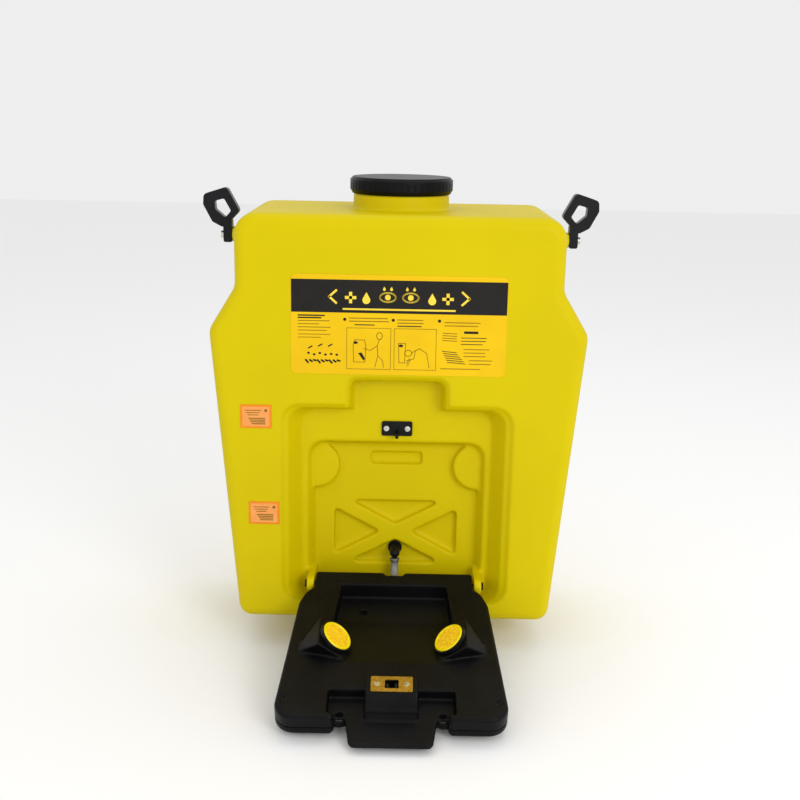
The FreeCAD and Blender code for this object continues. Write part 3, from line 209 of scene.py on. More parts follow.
@dataclass(frozen=True)
class Metal:
    """A metal with fine drawing lines along one direction and slight tarnish."""

    name: str
    base: str
    tarnish: str
    rough: float
    line_mm: tuple[float, float, float]
    line_depth: float = 0.02

    def make(self) -> bpy.types.Material:
        """Build the material.

        Returns:
            The material.
        """
        mat = bpy.data.materials.new(self.name)
        mat.use_nodes = True
        tree = mat.node_tree
        tree.nodes.clear()
        spot = add_node(tree, "ShaderNodeTexCoord").outputs["Object"]
        scale = tuple(per_metre(size) for size in self.line_mm)
        place = add_node(tree, "ShaderNodeMapping", {"Vector": spot, "Scale": scale})
        lines = add_node(tree, "ShaderNodeTexNoise", {
            "Vector": place.outputs["Vector"], "Scale": 1.0, "Detail": 3.0})
        cloud = add_node(tree, "ShaderNodeTexNoise", {"Vector": spot, "Scale": TARNISH_NOISE, "Detail": 4.0})
        ramp = add_node(tree, "ShaderNodeValToRGB", {"Fac": cloud.outputs["Fac"]})
        ramp.color_ramp.elements[0].position = 0.3
        ramp.color_ramp.elements[0].color = linear(self.tarnish)
        ramp.color_ramp.elements[1].position = 0.62
        ramp.color_ramp.elements[1].color = linear(self.base)
        rough = add_node(tree, "ShaderNodeMapRange", {
            "Value": lines.outputs["Fac"], "From Min": 0.3, "From Max": 0.7,
            "To Min": self.rough - 0.07, "To Max": self.rough + 0.1})
        bump = add_node(tree, "ShaderNodeBump", {
            "Height": lines.outputs["Fac"], "Distance": self.line_depth * MM})
        shader = add_node(tree, "ShaderNodeBsdfPrincipled", {
            "Base Color": ramp.outputs["Color"], "Roughness": rough.outputs["Result"], "Metallic": 1.0,
            "Normal": bump.outputs["Normal"]})
        add_node(tree, "ShaderNodeOutputMaterial", {"Surface": shader.outputs["BSDF"]})
        return mat


@dataclass(frozen=True)
class ClearVinyl:
    """Extruded flexible PVC hose: milky clear, glossy, faint extrusion lines, slightly grey with age."""

    name: str = "hose_extruded_clear_pvc"
    tint: str = "B9BAB4"

    def make(self) -> bpy.types.Material:
        """Build the material.

        Returns:
            The material.
        """
        mat = bpy.data.materials.new(self.name)
        mat.use_nodes = True
        tree = mat.node_tree
        tree.nodes.clear()
        spot = add_node(tree, "ShaderNodeTexCoord").outputs["Object"]
        haze = add_node(tree, "ShaderNodeTexNoise", {"Vector": spot, "Scale": HAZE_NOISE, "Detail": 4.0})
        tone = add_node(tree, "ShaderNodeValToRGB", {"Fac": haze.outputs["Fac"]})
        tone.color_ramp.elements[0].color = linear("8E9089")
        tone.color_ramp.elements[1].color = linear(self.tint)
        bump = add_node(tree, "ShaderNodeBump", {"Height": haze.outputs["Fac"], "Distance": 0.05 * MM})
        shader = add_node(tree, "ShaderNodeBsdfPrincipled", {
            "Base Color": tone.outputs["Color"], "Roughness": 0.22, "Transmission Weight": 0.45, "IOR": 1.53,
            "Normal": bump.outputs["Normal"]})
        add_node(tree, "ShaderNodeOutputMaterial", {"Surface": shader.outputs["BSDF"]})
        return mat


# Rotationally moulded polyethylene: a satin skin that copies a cast mould, with faint long ripples.
TANK_YELLOW = Moulded(
    "tank_rotomoulded_polyethylene", base="D3BF00", deep="CEBA00", rough=0.46, rough_spread=0.06,
    grain_mm=1.6, grain_depth=0.03, blotch_mm=160.0, ripple_mm=55.0, ripple_depth=0.25, specular=0.09)
# Injection-moulded ABS with a spark-eroded grain; black, with pale scuffing that settles in the grain.
TRAY_BLACK = Moulded(
    "tray_injection_moulded_abs", base="0E0E10", deep="070708", rough=0.40, rough_spread=0.08,
    grain_mm=1.4, grain_depth=0.05, blotch_mm=60.0, ripple_mm=40.0, ripple_depth=0.12, specular=0.11,
    dust="222326", dust_amount=0.15)
# Polished mould, black polypropylene.
CAP_BLACK = Moulded(
    "cap_injection_moulded_polypropylene", base="101011", deep="09090A", rough=0.34, rough_spread=0.05,
    grain_mm=1.2, grain_depth=0.01, blotch_mm=50.0, specular=0.10, dust="1C1D20", dust_amount=0.1)
# Moulded nylon, semi-gloss.
EYE_BLACK = Moulded(
    "eye_moulded_nylon", base="0E1014", deep="08090B", rough=0.32, rough_spread=0.07, grain_mm=1.2,
    grain_depth=0.03, blotch_mm=30.0, specular=0.22)
# Injection-moulded polypropylene with a plain mould finish.
FITTING_BLACK = Moulded(
    "fitting_moulded_polypropylene", base="111213", deep="0A0A0B", rough=0.42, rough_spread=0.08,
    grain_mm=1.0, grain_depth=0.03, blotch_mm=20.0, specular=0.15)
# Gloss ABS from a polished mould.
RING_YELLOW = Moulded(
    "ring_moulded_abs_gloss", base="F8E010", deep="F2D800", rough=0.3, rough_spread=0.05, grain_mm=1.2,
    grain_depth=0.01, blotch_mm=25.0, specular=0.35)
# Open-cell foam, cut from block, with a rough cut skin. Its cells are modelled as uneven beads.
FOAM_YELLOW = Moulded(
    "filter_open_cell_polyether_foam", base="FBD800", deep="EDBC00", rough=0.9, rough_spread=0.05,
    grain_mm=1.6, grain_depth=0.35, blotch_mm=4.0, specular=0.1, sheen=0.2)
# Compression-moulded nitrile rubber, matt from its mould.
RUBBER_BLACK = Moulded(
    "gasket_moulded_nitrile_rubber", base="121212", deep="0B0B0B", rough=0.62, rough_spread=0.06,
    grain_mm=1.0, grain_depth=0.05, blotch_mm=20.0, specular=0.3)
# Expanded polyethylene sheet, die cut.
LINER_WHITE = Moulded(
    "liner_expanded_polyethylene", base="E8E6DE", deep="DAD8CE", rough=0.7, rough_spread=0.08,
    grain_mm=1.4, grain_depth=0.2, blotch_mm=30.0)
# Turned acetal.
BUSH_WHITE = Moulded(
    "bush_turned_acetal", base="E9E7DF", deep="DEDCD2", rough=0.4, rough_spread=0.06, grain_mm=1.0,
    grain_depth=0.02, blotch_mm=10.0)
# Printed vinyl film under a satin laminate; it follows slow waves of the wall behind it.
LABEL_YELLOW = Moulded(
    "label_printed_vinyl_film", base="EBC000", deep="E4B800", rough=0.42, rough_spread=0.04, grain_mm=2.0,
    grain_depth=0.01, blotch_mm=80.0, ripple_mm=60.0, ripple_depth=0.10, specular=0.18)
# Screen-printed inks on the film.
INK_BLACK = Moulded(
    "ink_screen_printed_black", base="16130E", deep="100E0A", rough=0.5, rough_spread=0.05, grain_mm=1.5,
    grain_depth=0.01, blotch_mm=20.0, specular=0.25)
INK_GOLD = Moulded(
    "ink_screen_printed_yellow", base="F8D84A", deep="EFCB3A", rough=0.5, rough_spread=0.05, grain_mm=1.5,
    grain_depth=0.01, blotch_mm=20.0, specular=0.2)
INK_BROWN = Moulded(
    "ink_screen_printed_brown", base="8A6A10", deep="7C5C0C", rough=0.5, rough_spread=0.05, grain_mm=1.5,
    grain_depth=0.01, blotch_mm=20.0, specular=0.2)
INK_PEACH = Moulded(
    "ink_screen_printed_peach", base="F2A45A", deep="EE9A50", rough=0.5, rough_spread=0.05, grain_mm=1.5,
    grain_depth=0.01, blotch_mm=20.0, specular=0.2)
# Printed vinyl sticker film.
STICKER_ORANGE = Moulded(
    "sticker_printed_vinyl_film", base="EE8F1A", deep="E68414", rough=0.45, rough_spread=0.05,
    grain_mm=1.5, grain_depth=0.02, blotch_mm=30.0, specular=0.2)
# Turned nylon.
ROLLER_BLACK = Moulded(
    "roller_turned_nylon", base="151516", deep="0E0E0F", rough=0.35, rough_spread=0.06, grain_mm=1.0,
    grain_depth=0.02, blotch_mm=10.0, specular=0.35)
# Turned stainless steel.
SCREW_STEEL = Metal("screw_turned_stainless_steel", "D6D4CE", "A9A69E", 0.26, (1.0, 1.0, 1.0))
# Steel with a black oxide skin.
SCREW_BLACK = Metal("screw_black_oxide_steel", "2A2A2C", "161618", 0.42, (1.0, 1.0, 1.0))
# Rolled stainless strip and wire.
CLIP_STEEL = Metal("clip_rolled_stainless_steel", "C9C9C6", "9C9C98", 0.3, (0.6, 8.0, 8.0))
# Pressed zinc-plated steel, dulled.
CASE_STEEL = Metal("case_pressed_zinc_plated_steel", "3A3A3C", "1E1E20", 0.45, (1.0, 6.0, 6.0))
# Pressed steel with brushed brass plating.
PLATE_BRASS = Metal("plate_pressed_brass_plated_steel", "B9963F", "94742C", 0.34, (14.0, 0.8, 4.0), 0.03)
# Turned brass.
INSERT_BRASS = Metal("insert_turned_brass", "D2AC5A", "A27E36", 0.3, (1.0, 1.0, 1.0))
HOSE_CLEAR = ClearVinyl()
FINISHES: dict[str, bpy.types.Material] = {}


def dressed(finish: Any) -> bpy.types.Material:
    """Return a finish's material, made once."""
    if finish.name not in FINISHES:
        FINISHES[finish.name] = finish.make()
    return FINISHES[finish.name]


def dress(obj: bpy.types.Object, finish: Any) -> bpy.types.Object:
    """Give an object one material on every face.

    Args:
        obj: a mesh object.
        finish: the finish to put on it.

    Returns:
        The same object.
    """
    obj.data.materials.clear()
    obj.data.materials.append(dressed(finish))
    for face in obj.data.polygons:
        face.material_index = 0
    return obj


# ------------------------------------------------------------------ mesh helpers
def new_object(name: str, mesh: bmesh.types.BMesh) -> bpy.types.Object:
    """Store a bmesh as a named object at the origin.

    Args:
        name: the piece's name.
        mesh: the finished bmesh, freed here.

    Returns:
        The object.
    """
    data = bpy.data.meshes.new(name)
    mesh.to_mesh(data)
    mesh.free()
    obj = bpy.data.objects.new(name, data)
    bpy.context.scene.collection.objects.link(obj)
    return obj


def apply_modifiers(obj: bpy.types.Object) -> bpy.types.Object:
    """Turn an object's modifiers into plain mesh and drop them.

    Args:
        obj: a mesh object with modifiers.

    Returns:
        The same object.
    """
    bpy.context.view_layer.update()
    graph = bpy.context.evaluated_depsgraph_get()
    data = bpy.data.meshes.new_from_object(obj.evaluated_get(graph))
    obj.modifiers.clear()
    obj.data = data
    return obj


def copy_of(name: str, nodes: Sequence[str], merge: float = 0.00002) -> bpy.types.Object:
    """Copy CAD meshes into one merged mesh object.

    Args:
        name: the copy's name.
        nodes: the CAD nodes.
        merge: distance within which loose corners are joined.

    Returns:
        The object.
    """
    mesh = bmesh.new()
    for node in nodes:
        mesh.from_mesh(frame["nodes"][node].data)
    bmesh.ops.remove_doubles(mesh, verts=mesh.verts, dist=merge)
    return new_object(name, mesh)


def settle(obj: bpy.types.Object, body: Body, slot: str, *nodes: str) -> bpy.types.Object:
    """Let a finished piece ride on a body and stand for CAD nodes."""
    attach(obj, body.value)
    if nodes:
        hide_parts(*nodes)
    log.info("%s: %d faces", obj.name, len(obj.data.polygons))
    return obj


def smooth(obj: bpy.types.Object, angle: float = 35.0) -> bpy.types.Object:
    """Shade smooth with sharp edges above an angle in degrees."""
    mesh = bmesh.new()
    mesh.from_mesh(obj.data)
    for edge in mesh.edges:
        turn = edge.calc_face_angle(0.0) if len(edge.link_faces) == 2 else math.inf
        edge.smooth = turn < math.radians(angle)
    for face in mesh.faces:
        face.smooth = True
    mesh.to_mesh(obj.data)
    mesh.free()
    return obj


def softened(name: str, nodes: Sequence[str], voxel: float, passes: int, factor: float = 0.5,
             limit: int = 180000) -> bpy.types.Object:
    """A remeshed, smoothed copy of CAD nodes, with the soft edges of a moulding.

    Args:
        name: the piece's name.
        nodes: the CAD nodes it copies.
        voxel: the remesh size in metres.
        passes: how many smoothing passes.
        factor: strength of each pass.
        limit: the most triangles it may have.

    Returns:
        The object.
    """
    obj = copy_of(name, nodes)
    remesh = obj.modifiers.new("remesh", "REMESH")
    remesh.mode = "VOXEL"
    remesh.voxel_size = voxel
    remesh.use_smooth_shade = True
    calm = obj.modifiers.new("calm", "SMOOTH")
    calm.iterations = passes
    calm.factor = factor
    apply_modifiers(obj)
    triangles = 2 * len(obj.data.polygons)
    if triangles > limit:
        thin = obj.modifiers.new("thin", "DECIMATE")
        thin.ratio = limit / triangles
        apply_modifiers(obj)
    for face in obj.data.polygons:
        face.use_smooth = True
    return obj


def node_box(name: str) -> tuple[Vector, Vector]:
    """The corners of one CAD node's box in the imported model's frame."""
    spots = [v.co for v in frame["nodes"][name].data.vertices]
    low = Vector([min(p[k] for p in spots) for k in range(3)])
    high = Vector([max(p[k] for p in spots) for k in range(3)])
    return low, high


# ------------------------------------------------------------------ repeated things
def new_group(name: str, inputs: Sequence[tuple[str, str]]) -> tuple[bpy.types.NodeTree, bpy.types.Node]:
    """Start a geometry node group with named inputs.

    Args:
        name: the group's name.
        inputs: input names and socket types.

    Returns:
        The group and its input node.
    """
    tree = bpy.data.node_groups.new(name, "GeometryNodeTree")
    tree.interface.new_socket(name="Geometry", in_out="INPUT", socket_type="NodeSocketGeometry")
    tree.interface.new_socket(name="Geometry", in_out="OUTPUT", socket_type="NodeSocketGeometry")
    for title, kind in inputs:
        tree.interface.new_socket(name=title, in_out="INPUT", socket_type=kind)
    return tree, tree.nodes.new("NodeGroupInput")


def close_group(tree: bpy.types.NodeTree, geometry: bpy.types.NodeSocket,
                material: bpy.types.NodeSocket) -> None:
    """End a group with realised, dressed instances."""
    real = add_node(tree, "GeometryNodeRealizeInstances", {"Geometry": geometry})
    dressed_up = add_node(tree, "GeometryNodeSetMaterial", {
        "Geometry": real.outputs["Geometry"], "Material": material})
    add_node(tree, "NodeGroupOutput", {"Geometry": dressed_up.outputs["Geometry"]})


def run_group(obj: bpy.types.Object, tree: bpy.types.NodeTree, values: dict[str, Any]) -> bpy.types.Object:
    """Run a group on an object and keep the result as plain mesh.

    Args:
        obj: the object that feeds the group.
        tree: the group.
        values: input names to values.

    Returns:
        The same object.
    """
    modifier = obj.modifiers.new("group", "NODES")
    modifier.node_group = tree
    for item in tree.interface.items_tree:
        if item.item_type == "SOCKET" and item.in_out == "INPUT" and item.name in values:
            modifier[item.identifier] = values[item.name]
    return apply_modifiers(obj)


def bars_group() -> bpy.types.NodeTree:
    """Printed lines: a column of thin bars with uneven ends, aligned on the left."""
    tree, entry = new_group("printed_bars", (("Count", "NodeSocketInt"), ("Pitch", "NodeSocketFloat"),
                                             ("Length", "NodeSocketFloat"), ("Height", "NodeSocketFloat"),
                                             ("Thickness", "NodeSocketFloat"), ("Seed", "NodeSocketInt"),
                                             ("Material", "NodeSocketMaterial")))
    drop = add_node(tree, "ShaderNodeMath", {0: entry.outputs["Pitch"], 1: -1.0}, operation="MULTIPLY")
    step = add_node(tree, "ShaderNodeCombineXYZ", {"Z": drop.outputs[0]})
    line = add_node(tree, "GeometryNodeMeshLine", {
        "Count": entry.outputs["Count"], "Offset": step.outputs[0]})
    size = add_node(tree, "ShaderNodeCombineXYZ", {
        "X": entry.outputs["Length"], "Y": entry.outputs["Thickness"], "Z": entry.outputs["Height"]})
    block = add_node(tree, "GeometryNodeMeshCube", {"Size": size.outputs[0]})
    half = add_node(tree, "ShaderNodeMath", {0: entry.outputs["Length"], 1: 0.5}, operation="MULTIPLY")
    shift = add_node(tree, "ShaderNodeCombineXYZ", {"X": half.outputs[0]})
    moved = add_node(tree, "GeometryNodeTransform", {
        "Geometry": block.outputs["Mesh"], "Translation": shift.outputs[0]})
    chance = add_node(tree, "FunctionNodeRandomValue", {2: 0.55, 3: 1.0, "Seed": entry.outputs["Seed"]},
                      data_type="FLOAT")
    stretch = add_node(tree, "ShaderNodeCombineXYZ", {"X": chance.outputs[1], "Y": 1.0, "Z": 1.0})
    placed = add_node(tree, "GeometryNodeInstanceOnPoints", {
        "Points": line.outputs["Mesh"], "Instance": moved.outputs["Geometry"], "Scale": stretch.outputs[0]})
    close_group(tree, placed.outputs["Instances"], entry.outputs["Material"])
    return tree


def cells_group() -> bpy.types.NodeTree:
    """Foam cells: small beads of uneven size strewn over the feeding surface."""
    tree, entry = new_group("foam_cells", (("Density", "NodeSocketFloat"), ("Radius", "NodeSocketFloat"),
                                           ("Seed", "NodeSocketInt"), ("Material", "NodeSocketMaterial")))
    spots = add_node(tree, "GeometryNodeDistributePointsOnFaces", {
        "Mesh": entry.outputs["Geometry"], "Density": entry.outputs["Density"],
        "Seed": entry.outputs["Seed"]})
    bead = add_node(tree, "GeometryNodeMeshIcoSphere", {"Radius": entry.outputs["Radius"], "Subdivisions": 2})
    chance = add_node(tree, "FunctionNodeRandomValue", {2: 0.5, 3: 1.0, "Seed": entry.outputs["Seed"]},
                      data_type="FLOAT")
    placed = add_node(tree, "GeometryNodeInstanceOnPoints", {
        "Points": spots.outputs["Points"], "Instance": bead.outputs["Mesh"], "Scale": chance.outputs[1]})
    close_group(tree, placed.outputs["Instances"], entry.outputs["Material"])
    return tree


# ------------------------------------------------------------------ sub-assemblies
@dataclass
class Tank:
    """The one-piece tank with the soft edges of a rotational moulding."""

    voxel: float = 2.6 * MM
    passes: int = 6

    def build(self) -> None:
        """Make the tank's pieces."""
        body = softened("tank_shell", ["tank"], self.voxel, self.passes)
        settle(dress(body, TANK_YELLOW), Body.TANK, "tank_plastic", "tank")


@dataclass
class Tray:
    """The two tray shells with moulded edges, and a finer copy of the supply hose."""

    voxel: float = 1.6 * MM
    passes: int = 5
    most_triangles: int = 170000
    longest_edge: float = 1.5 * MM

    def build(self) -> None:
        """Make the tray's pieces."""
        for name in ("tray_top", "tray_base"):
            shell = softened(name + "_shell", [name], self.voxel, self.passes, limit=self.most_triangles)
            settle(dress(shell, TRAY_BLACK), Body.TRAY, "tray_plastic", name)
        self.hose()

    def hose(self) -> None:
        """A finer copy of the supply hose: long edges split, faces triangulated and shaded smooth."""
        hose = copy_of("supply_hose_bending", ["supply_hose"])
        mesh = bmesh.new()
        mesh.from_mesh(hose.data)
        for _ in range(2):
            long_edges = [edge for edge in mesh.edges if edge.calc_length() > self.longest_edge]
            bmesh.ops.subdivide_edges(mesh, edges=long_edges, cuts=1, use_grid_fill=True)
            bmesh.ops.triangulate(mesh, faces=mesh.faces)
        mesh.to_mesh(hose.data)
        mesh.free()
        smooth(dress(hose, HOSE_CLEAR), 40.0)
        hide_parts("supply_hose")
        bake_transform(hose)


@dataclass
class Cap:
    """The cap's liner, a hair smaller than the cap it lies in, so that the cap turns free of it."""

    shrink: float = 0.996
    thin: float = 0.94

    def build(self) -> None:
        """Make the liner."""
        liner = copy_of("cap_liner_disc", ["cap_liner"])
        low, high = node_box("cap_liner")
        middle = (low + high) / 2
        scale = Matrix.Diagonal((self.shrink, self.shrink, self.thin, 1.0)).to_4x4()
        away = Matrix.Translation(middle) @ scale
        liner.data.transform(away @ Matrix.Translation(-middle))
        settle(smooth(dress(liner, LINER_WHITE)), Body.LINER, "liner_foam", "cap_liner")


@dataclass
class Catch:
    """The catch's two coil springs, as helices of round wire."""

    wire: float = 0.28 * MM
    turns: float = 3.5

    def build(self) -> None:
        """Make both springs."""
        for side, sign in (("left", -1.0), ("right", 1.0)):
            low, high = node_box("roller_spring_" + side)
            outer = Vector(((high.x if sign > 0 else low.x), (low.y + high.y) / 2, (low.z + high.z) / 2))
            inner_x = low.x if sign > 0 else high.x
            radius = (high.z - low.z) / 2 - self.wire * 1.6
            coil = new_object("catch_coil_" + side, self.coil(outer, inner_x, radius))
            settle(smooth(dress(coil, CLIP_STEEL), 60.0), Body.TRAY, "spring_steel", "roller_spring_" + side)
            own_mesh(coil)

    def coil(self, outer: Vector, inner_x: float, radius: float) -> bmesh.types.BMesh:
        """A helix of round wire between two places along X.

        Args:
            outer: the middle of the fixed end.
            inner_x: X of the end at the roller.
            radius: the helix's radius.

        Returns:
            The mesh.
        """
        mesh = bmesh.new()
        steps, sides = 84, 8
        start, end = outer.x, inner_x
        reach = 1.0 if end > start else -1.0
        run = abs(end - start) - 3 * self.wire
        rows = []
        for k in range(steps + 1):
            share = k / steps
            turn = 2 * math.pi * self.turns * share
            x = start + reach * (1.5 * self.wire + run * share)
            out = Vector((0.0, math.cos(turn), math.sin(turn)))
            row = []
            for n in range(sides):
                a = 2 * math.pi * n / sides
                side = Vector((self.wire * math.sin(a), 0.0, 0.0))
                offset = out * (radius + self.wire * math.cos(a)) + side
                row.append(mesh.verts.new(Vector((x, outer.y, outer.z)) + offset))
            rows.append(row)
        for a, b in zip(rows, rows[1:]):
            for n in range(sides):
                m = (n + 1) % sides
                mesh.faces.new((a[n], a[m], b[m], b[n]))
        mesh.faces.new(rows[0])
        mesh.faces.new(list(reversed(rows[-1])))
        bmesh.ops.recalc_face_normals(mesh, faces=mesh.faces)
        return mesh


@dataclass
class SprayHeads:
    """Foam cells on both spray heads' filters."""

    density: float = 260000.0
    radius: float = 1.3 * MM
    least_rise: float = 0.2
    same_way: float = 0.97

    def build(self) -> None:
        """Make the beads of both filters."""
        group = cells_group()
        for side, seed in (("left", 3), ("right", 8)):
            foam = copy_of("filter_cells_" + side, ["filter_foam_" + side])
            self.keep_front(foam)
            run_group(foam, group, {"Density": self.density, "Radius": self.radius, "Seed": seed,
                                    "Material": dressed(FOAM_YELLOW)})
            for face in foam.data.polygons:
                face.use_smooth = True
            settle(foam, Body.TRAY, "filter_foam")

    def keep_front(self, foam: bpy.types.Object) -> None:
        """Leave only the foam's outer face, the largest flat one that looks up."""
        mesh = bmesh.new()
        mesh.from_mesh(foam.data)
        weights: dict[tuple[float, float, float], float] = {}
        for face in mesh.faces:
            key = tuple(round(value, 1) for value in face.normal)
            if face.normal.z > self.least_rise:
                weights[key] = weights.get(key, 0.0) + face.calc_area()
        best = Vector(max(weights, key=lambda key: weights[key])).normalized()
        away = [face for face in mesh.faces if face.normal.dot(best) < self.same_way]
        bmesh.ops.delete(mesh, geom=away, context="FACES")
        mesh.to_mesh(foam.data)
        mesh.free()


@dataclass
class Print:
    """One colour of printing on the tank's front: thin raised ink of boxes, strokes and filled outlines."""

    name: str
    ink: Any
    plane: float
    slot: str
    lift: float = INK_LIFT
    sink: float = 0.1 * MM
    mesh: bmesh.types.BMesh = field(default_factory=bmesh.new)

    def shape(self, points: Iterable[Point]) -> None:
        """Fill one convex or star-shaped outline, given in millimetres as X and Z."""
        spots = [(x * MM, z * MM) for x, z in points]
        area = sum(a[0] * b[1] - b[0] * a[1] for a, b in zip(spots, spots[1:] + spots[:1]))
        if area < 0:
            spots.reverse()
        front = [self.mesh.verts.new((x, self.plane - self.lift, z)) for x, z in spots]
        back = [self.mesh.verts.new((x, self.plane + self.sink, z)) for x, z in spots]
        self.mesh.faces.new(front)
        self.mesh.faces.new(list(reversed(back)))
        for k in range(len(spots)):
            n = (k + 1) % len(spots)
            self.mesh.faces.new((front[k], back[k], back[n], front[n]))

    def bar(self, x0: float, x1: float, z0: float, z1: float) -> None:
        """Fill a rectangle."""
        self.shape([(x0, z0), (x1, z0), (x1, z1), (x0, z1)])

    def stroke(self, points: Sequence[Point], width: float, closed: bool = False) -> None:
        """Draw a line of constant width through points."""
        ends = list(points) + ([points[0]] if closed else [])
        for (ax, az), (bx, bz) in zip(ends, ends[1:]):
            length = math.hypot(bx - ax, bz - az)
            if length < 1e-6:
                continue
            ux, uz = (bx - ax) / length, (bz - az) / length
            px, pz = -uz * width / 2, ux * width / 2
            ax, az = ax - ux * width / 3, az - uz * width / 3
            bx, bz = bx + ux * width / 3, bz + uz * width / 3
            self.shape([(ax + px, az + pz), (bx + px, bz + pz), (bx - px, bz - pz), (ax - px, az - pz)])

    def disc(self, x: float, z: float, rx: float, rz: float, sides: int = 20) -> None:
        """Fill an ellipse."""
        self.shape([(x + rx * math.cos(2 * math.pi * k / sides), z + rz * math.sin(2 * math.pi * k / sides))
                    for k in range(sides)])

    def ring(self, x: float, z: float, rx: float, rz: float, width: float, sides: int = 20) -> None:
        """Draw an ellipse as a line."""
        self.stroke([(x + rx * math.cos(2 * math.pi * k / sides), z + rz * math.sin(2 * math.pi * k / sides))
                     for k in range(sides)], width, True)

    def drop(self, x: float, z: float, size: float) -> None:
        """Fill a water drop."""
        points = [(x, z + size)]
        points += [(x + 0.62 * size * math.cos(a), z - 0.25 * size + 0.62 * size * math.sin(a))
                   for a in (math.radians(40 - 26 * k) for k in range(11))]
        self.shape(points)

    def build(self) -> None:
        """Store the printing as one piece."""
        obj = new_object(self.name, self.mesh)
        settle(dress(obj, self.ink), Body.TANK, self.slot)


@dataclass
class Label:
    """The label's generic printing: a dark band with pictograms, two picture panels, columns of bars."""

    def build(self) -> None:
        """Make the label's printing."""
        plane = node_box("instruction_label")[0].y
        black = Print("label_print_black", INK_BLACK, plane, "label_film")
        gold = Print("label_print_gold", INK_GOLD, plane - INK_LIFT, "label_film")
        brown = Print("label_print_brown", INK_BROWN, plane, "label_film")
        self.band(black, gold)
        self.panels(black, brown)
        for piece in (black, gold, brown):
            piece.build()
        self.columns(plane)

    @staticmethod
    def band(black: Print, gold: Print) -> None:
        """The band across the label's top, with a row of pictograms: an eye, drops, a hand and arrows."""
        black.bar(-151.2, 151.2, 470.5, 517.0)
        for side in (-1, 1):
            gold.ring(side * 16, 493, 11, 6.5, 2.2)
            gold.disc(side * 16, 493, 4, 4)
            for step in (-1, 1):
                gold.drop(side * 16 + step * 5, 505, 3.2)
            gold.drop(side * 46, 491, 9)
            gold.bar(side * 68 - 2.2, side * 68 + 2.2, 484, 500)
            gold.bar(side * 68 - 8, side * 68 + 8, 489.8, 494.2)
            gold.stroke([(side * 88, 502), (side * 98, 493), (side * 88, 484)], 3.0)
        gold.bar(-79, 79, 474.5, 477.0)

    @staticmethod
    def panels(black: Print, brown: Print) -> None:
        """Two framed pictures of a person at the basin, and the round bullets over the columns."""
        for x0, x1 in ((-73, -11), (-6, 53)):
            brown.stroke([(x0, 390), (x1, 390), (x1, 449), (x0, 449)], 0.7, True)
        for x in (-76, -8, 57):
            black.disc(x, 461, 2.3, 2.3, 14)
        # standing person who opens the tray
        brown.ring(-27, 438, 4.0, 5.0, 0.9)
        brown.stroke([(-27, 433), (-30, 424), (-29, 410), (-33, 393)], 0.9)
        brown.stroke([(-29, 410), (-22, 402), (-21, 393)], 0.9)
        brown.stroke([(-30, 424), (-40, 417), (-49, 420)], 0.9)
        brown.stroke([(-62, 432), (-48, 432), (-46, 424), (-47, 400), (-63, 400), (-64, 424)], 0.9, True)
        black.disc(-60.5, 428, 3.2, 2.0, 12)
        black.shape([(-57, 413), (-49, 402), (-47, 405), (-52, 414)])
        # bent person who rinses both eyes
        brown.ring(14, 414, 5.0, 4.4, 0.9)
        brown.stroke([(19, 415), (30, 421), (40, 414), (44, 393)], 0.9)
        brown.stroke([(24, 418), (22, 406), (12, 403)], 0.9)
        brown.stroke([(0, 428), (10, 428), (9, 400), (1, 400)], 0.9, True)
        black.disc(3.5, 424.5, 3.2, 2.0, 12)
        for k in range(3):
            brown.stroke([(11 + k, 399 - 2 * k), (16 + k, 407 - k)], 0.6)
        # small picture blocks of the right-hand column
        for k in range(4):
            brown.stroke([(62, 444 - 3.5 * k), (82, 443 - 3.5 * k)], 1.0)
        black.bar(92, 112, 443.5, 447)
        for k in range(6):
            black.stroke([(62 + 1.5 * k, 418 - 3.2 * k), (82 + 2.6 * k, 416 - 3.2 * k)], 1.0)
        # dark block of hand symbols at the lower left
        for k in range(9):
            black.stroke([(-131 + 5.6 * k, 402), (-127.5 + 5.6 * k, 398 + (k % 3) * 1.5)], 2.6)
        for k, z in ((0, 412), (1, 410), (2, 412), (3, 410), (4, 411), (5, 410)):
            black.disc(-127 + 8.0 * k, z, 2.0, 1.6, 10)
        for x, z in ((-124, 421), (-110, 424), (-96, 424)):
            black.stroke([(x - 3, z - 2), (x + 2, z + 1)], 1.8)

    @staticmethod
    def columns(plane: float) -> None:
        """Columns of printed bars in place of sentences."""
        group = bars_group()
        bars = ((-142, 466.0, 46, 2, 3.4, 1.9, INK_BLACK, 11), (-142, 458.4, 50, 4, 4.6, 1.0, INK_BROWN, 12),
                (-142, 439.0, 52, 2, 4.4, 0.9, INK_BROWN, 13), (-70, 463.0, 58, 2, 4.4, 1.2, INK_BROWN, 14),
                (-62, 453.6, 46, 1, 4.4, 1.4, INK_BLACK, 15), (-2, 461.5, 50, 2, 4.4, 1.2, INK_BROWN, 16),
                (-2, 452.6, 48, 1, 4.4, 1.4, INK_BLACK, 17), (64, 459.0, 74, 2, 4.6, 1.1, INK_BROWN, 18),
                (88, 437.5, 48, 3, 4.6, 1.0, INK_BLACK, 19), (92, 421.0, 42, 3, 5.0, 1.0, INK_BROWN, 20),
                (100, 405.0, 36, 2, 5.2, 1.0, INK_BROWN, 21), (60, 392.5, 78, 1, 5.0, 1.1, INK_BROWN, 22))
        for number, (x, z, length, count, pitch, height, ink, seed) in enumerate(bars):
            obj = new_object("label_bars_%02d" % number, bmesh.new())
            run_group(obj, group, {
                "Count": count, "Pitch": pitch * MM, "Length": length * MM, "Height": height * MM,
                "Thickness": 0.3 * MM, "Seed": seed, "Material": dressed(ink)})
            obj.data.transform(Matrix.Translation((x * MM, plane - 0.02 * MM, z * MM)))
            settle(obj, Body.TANK, "label_film")


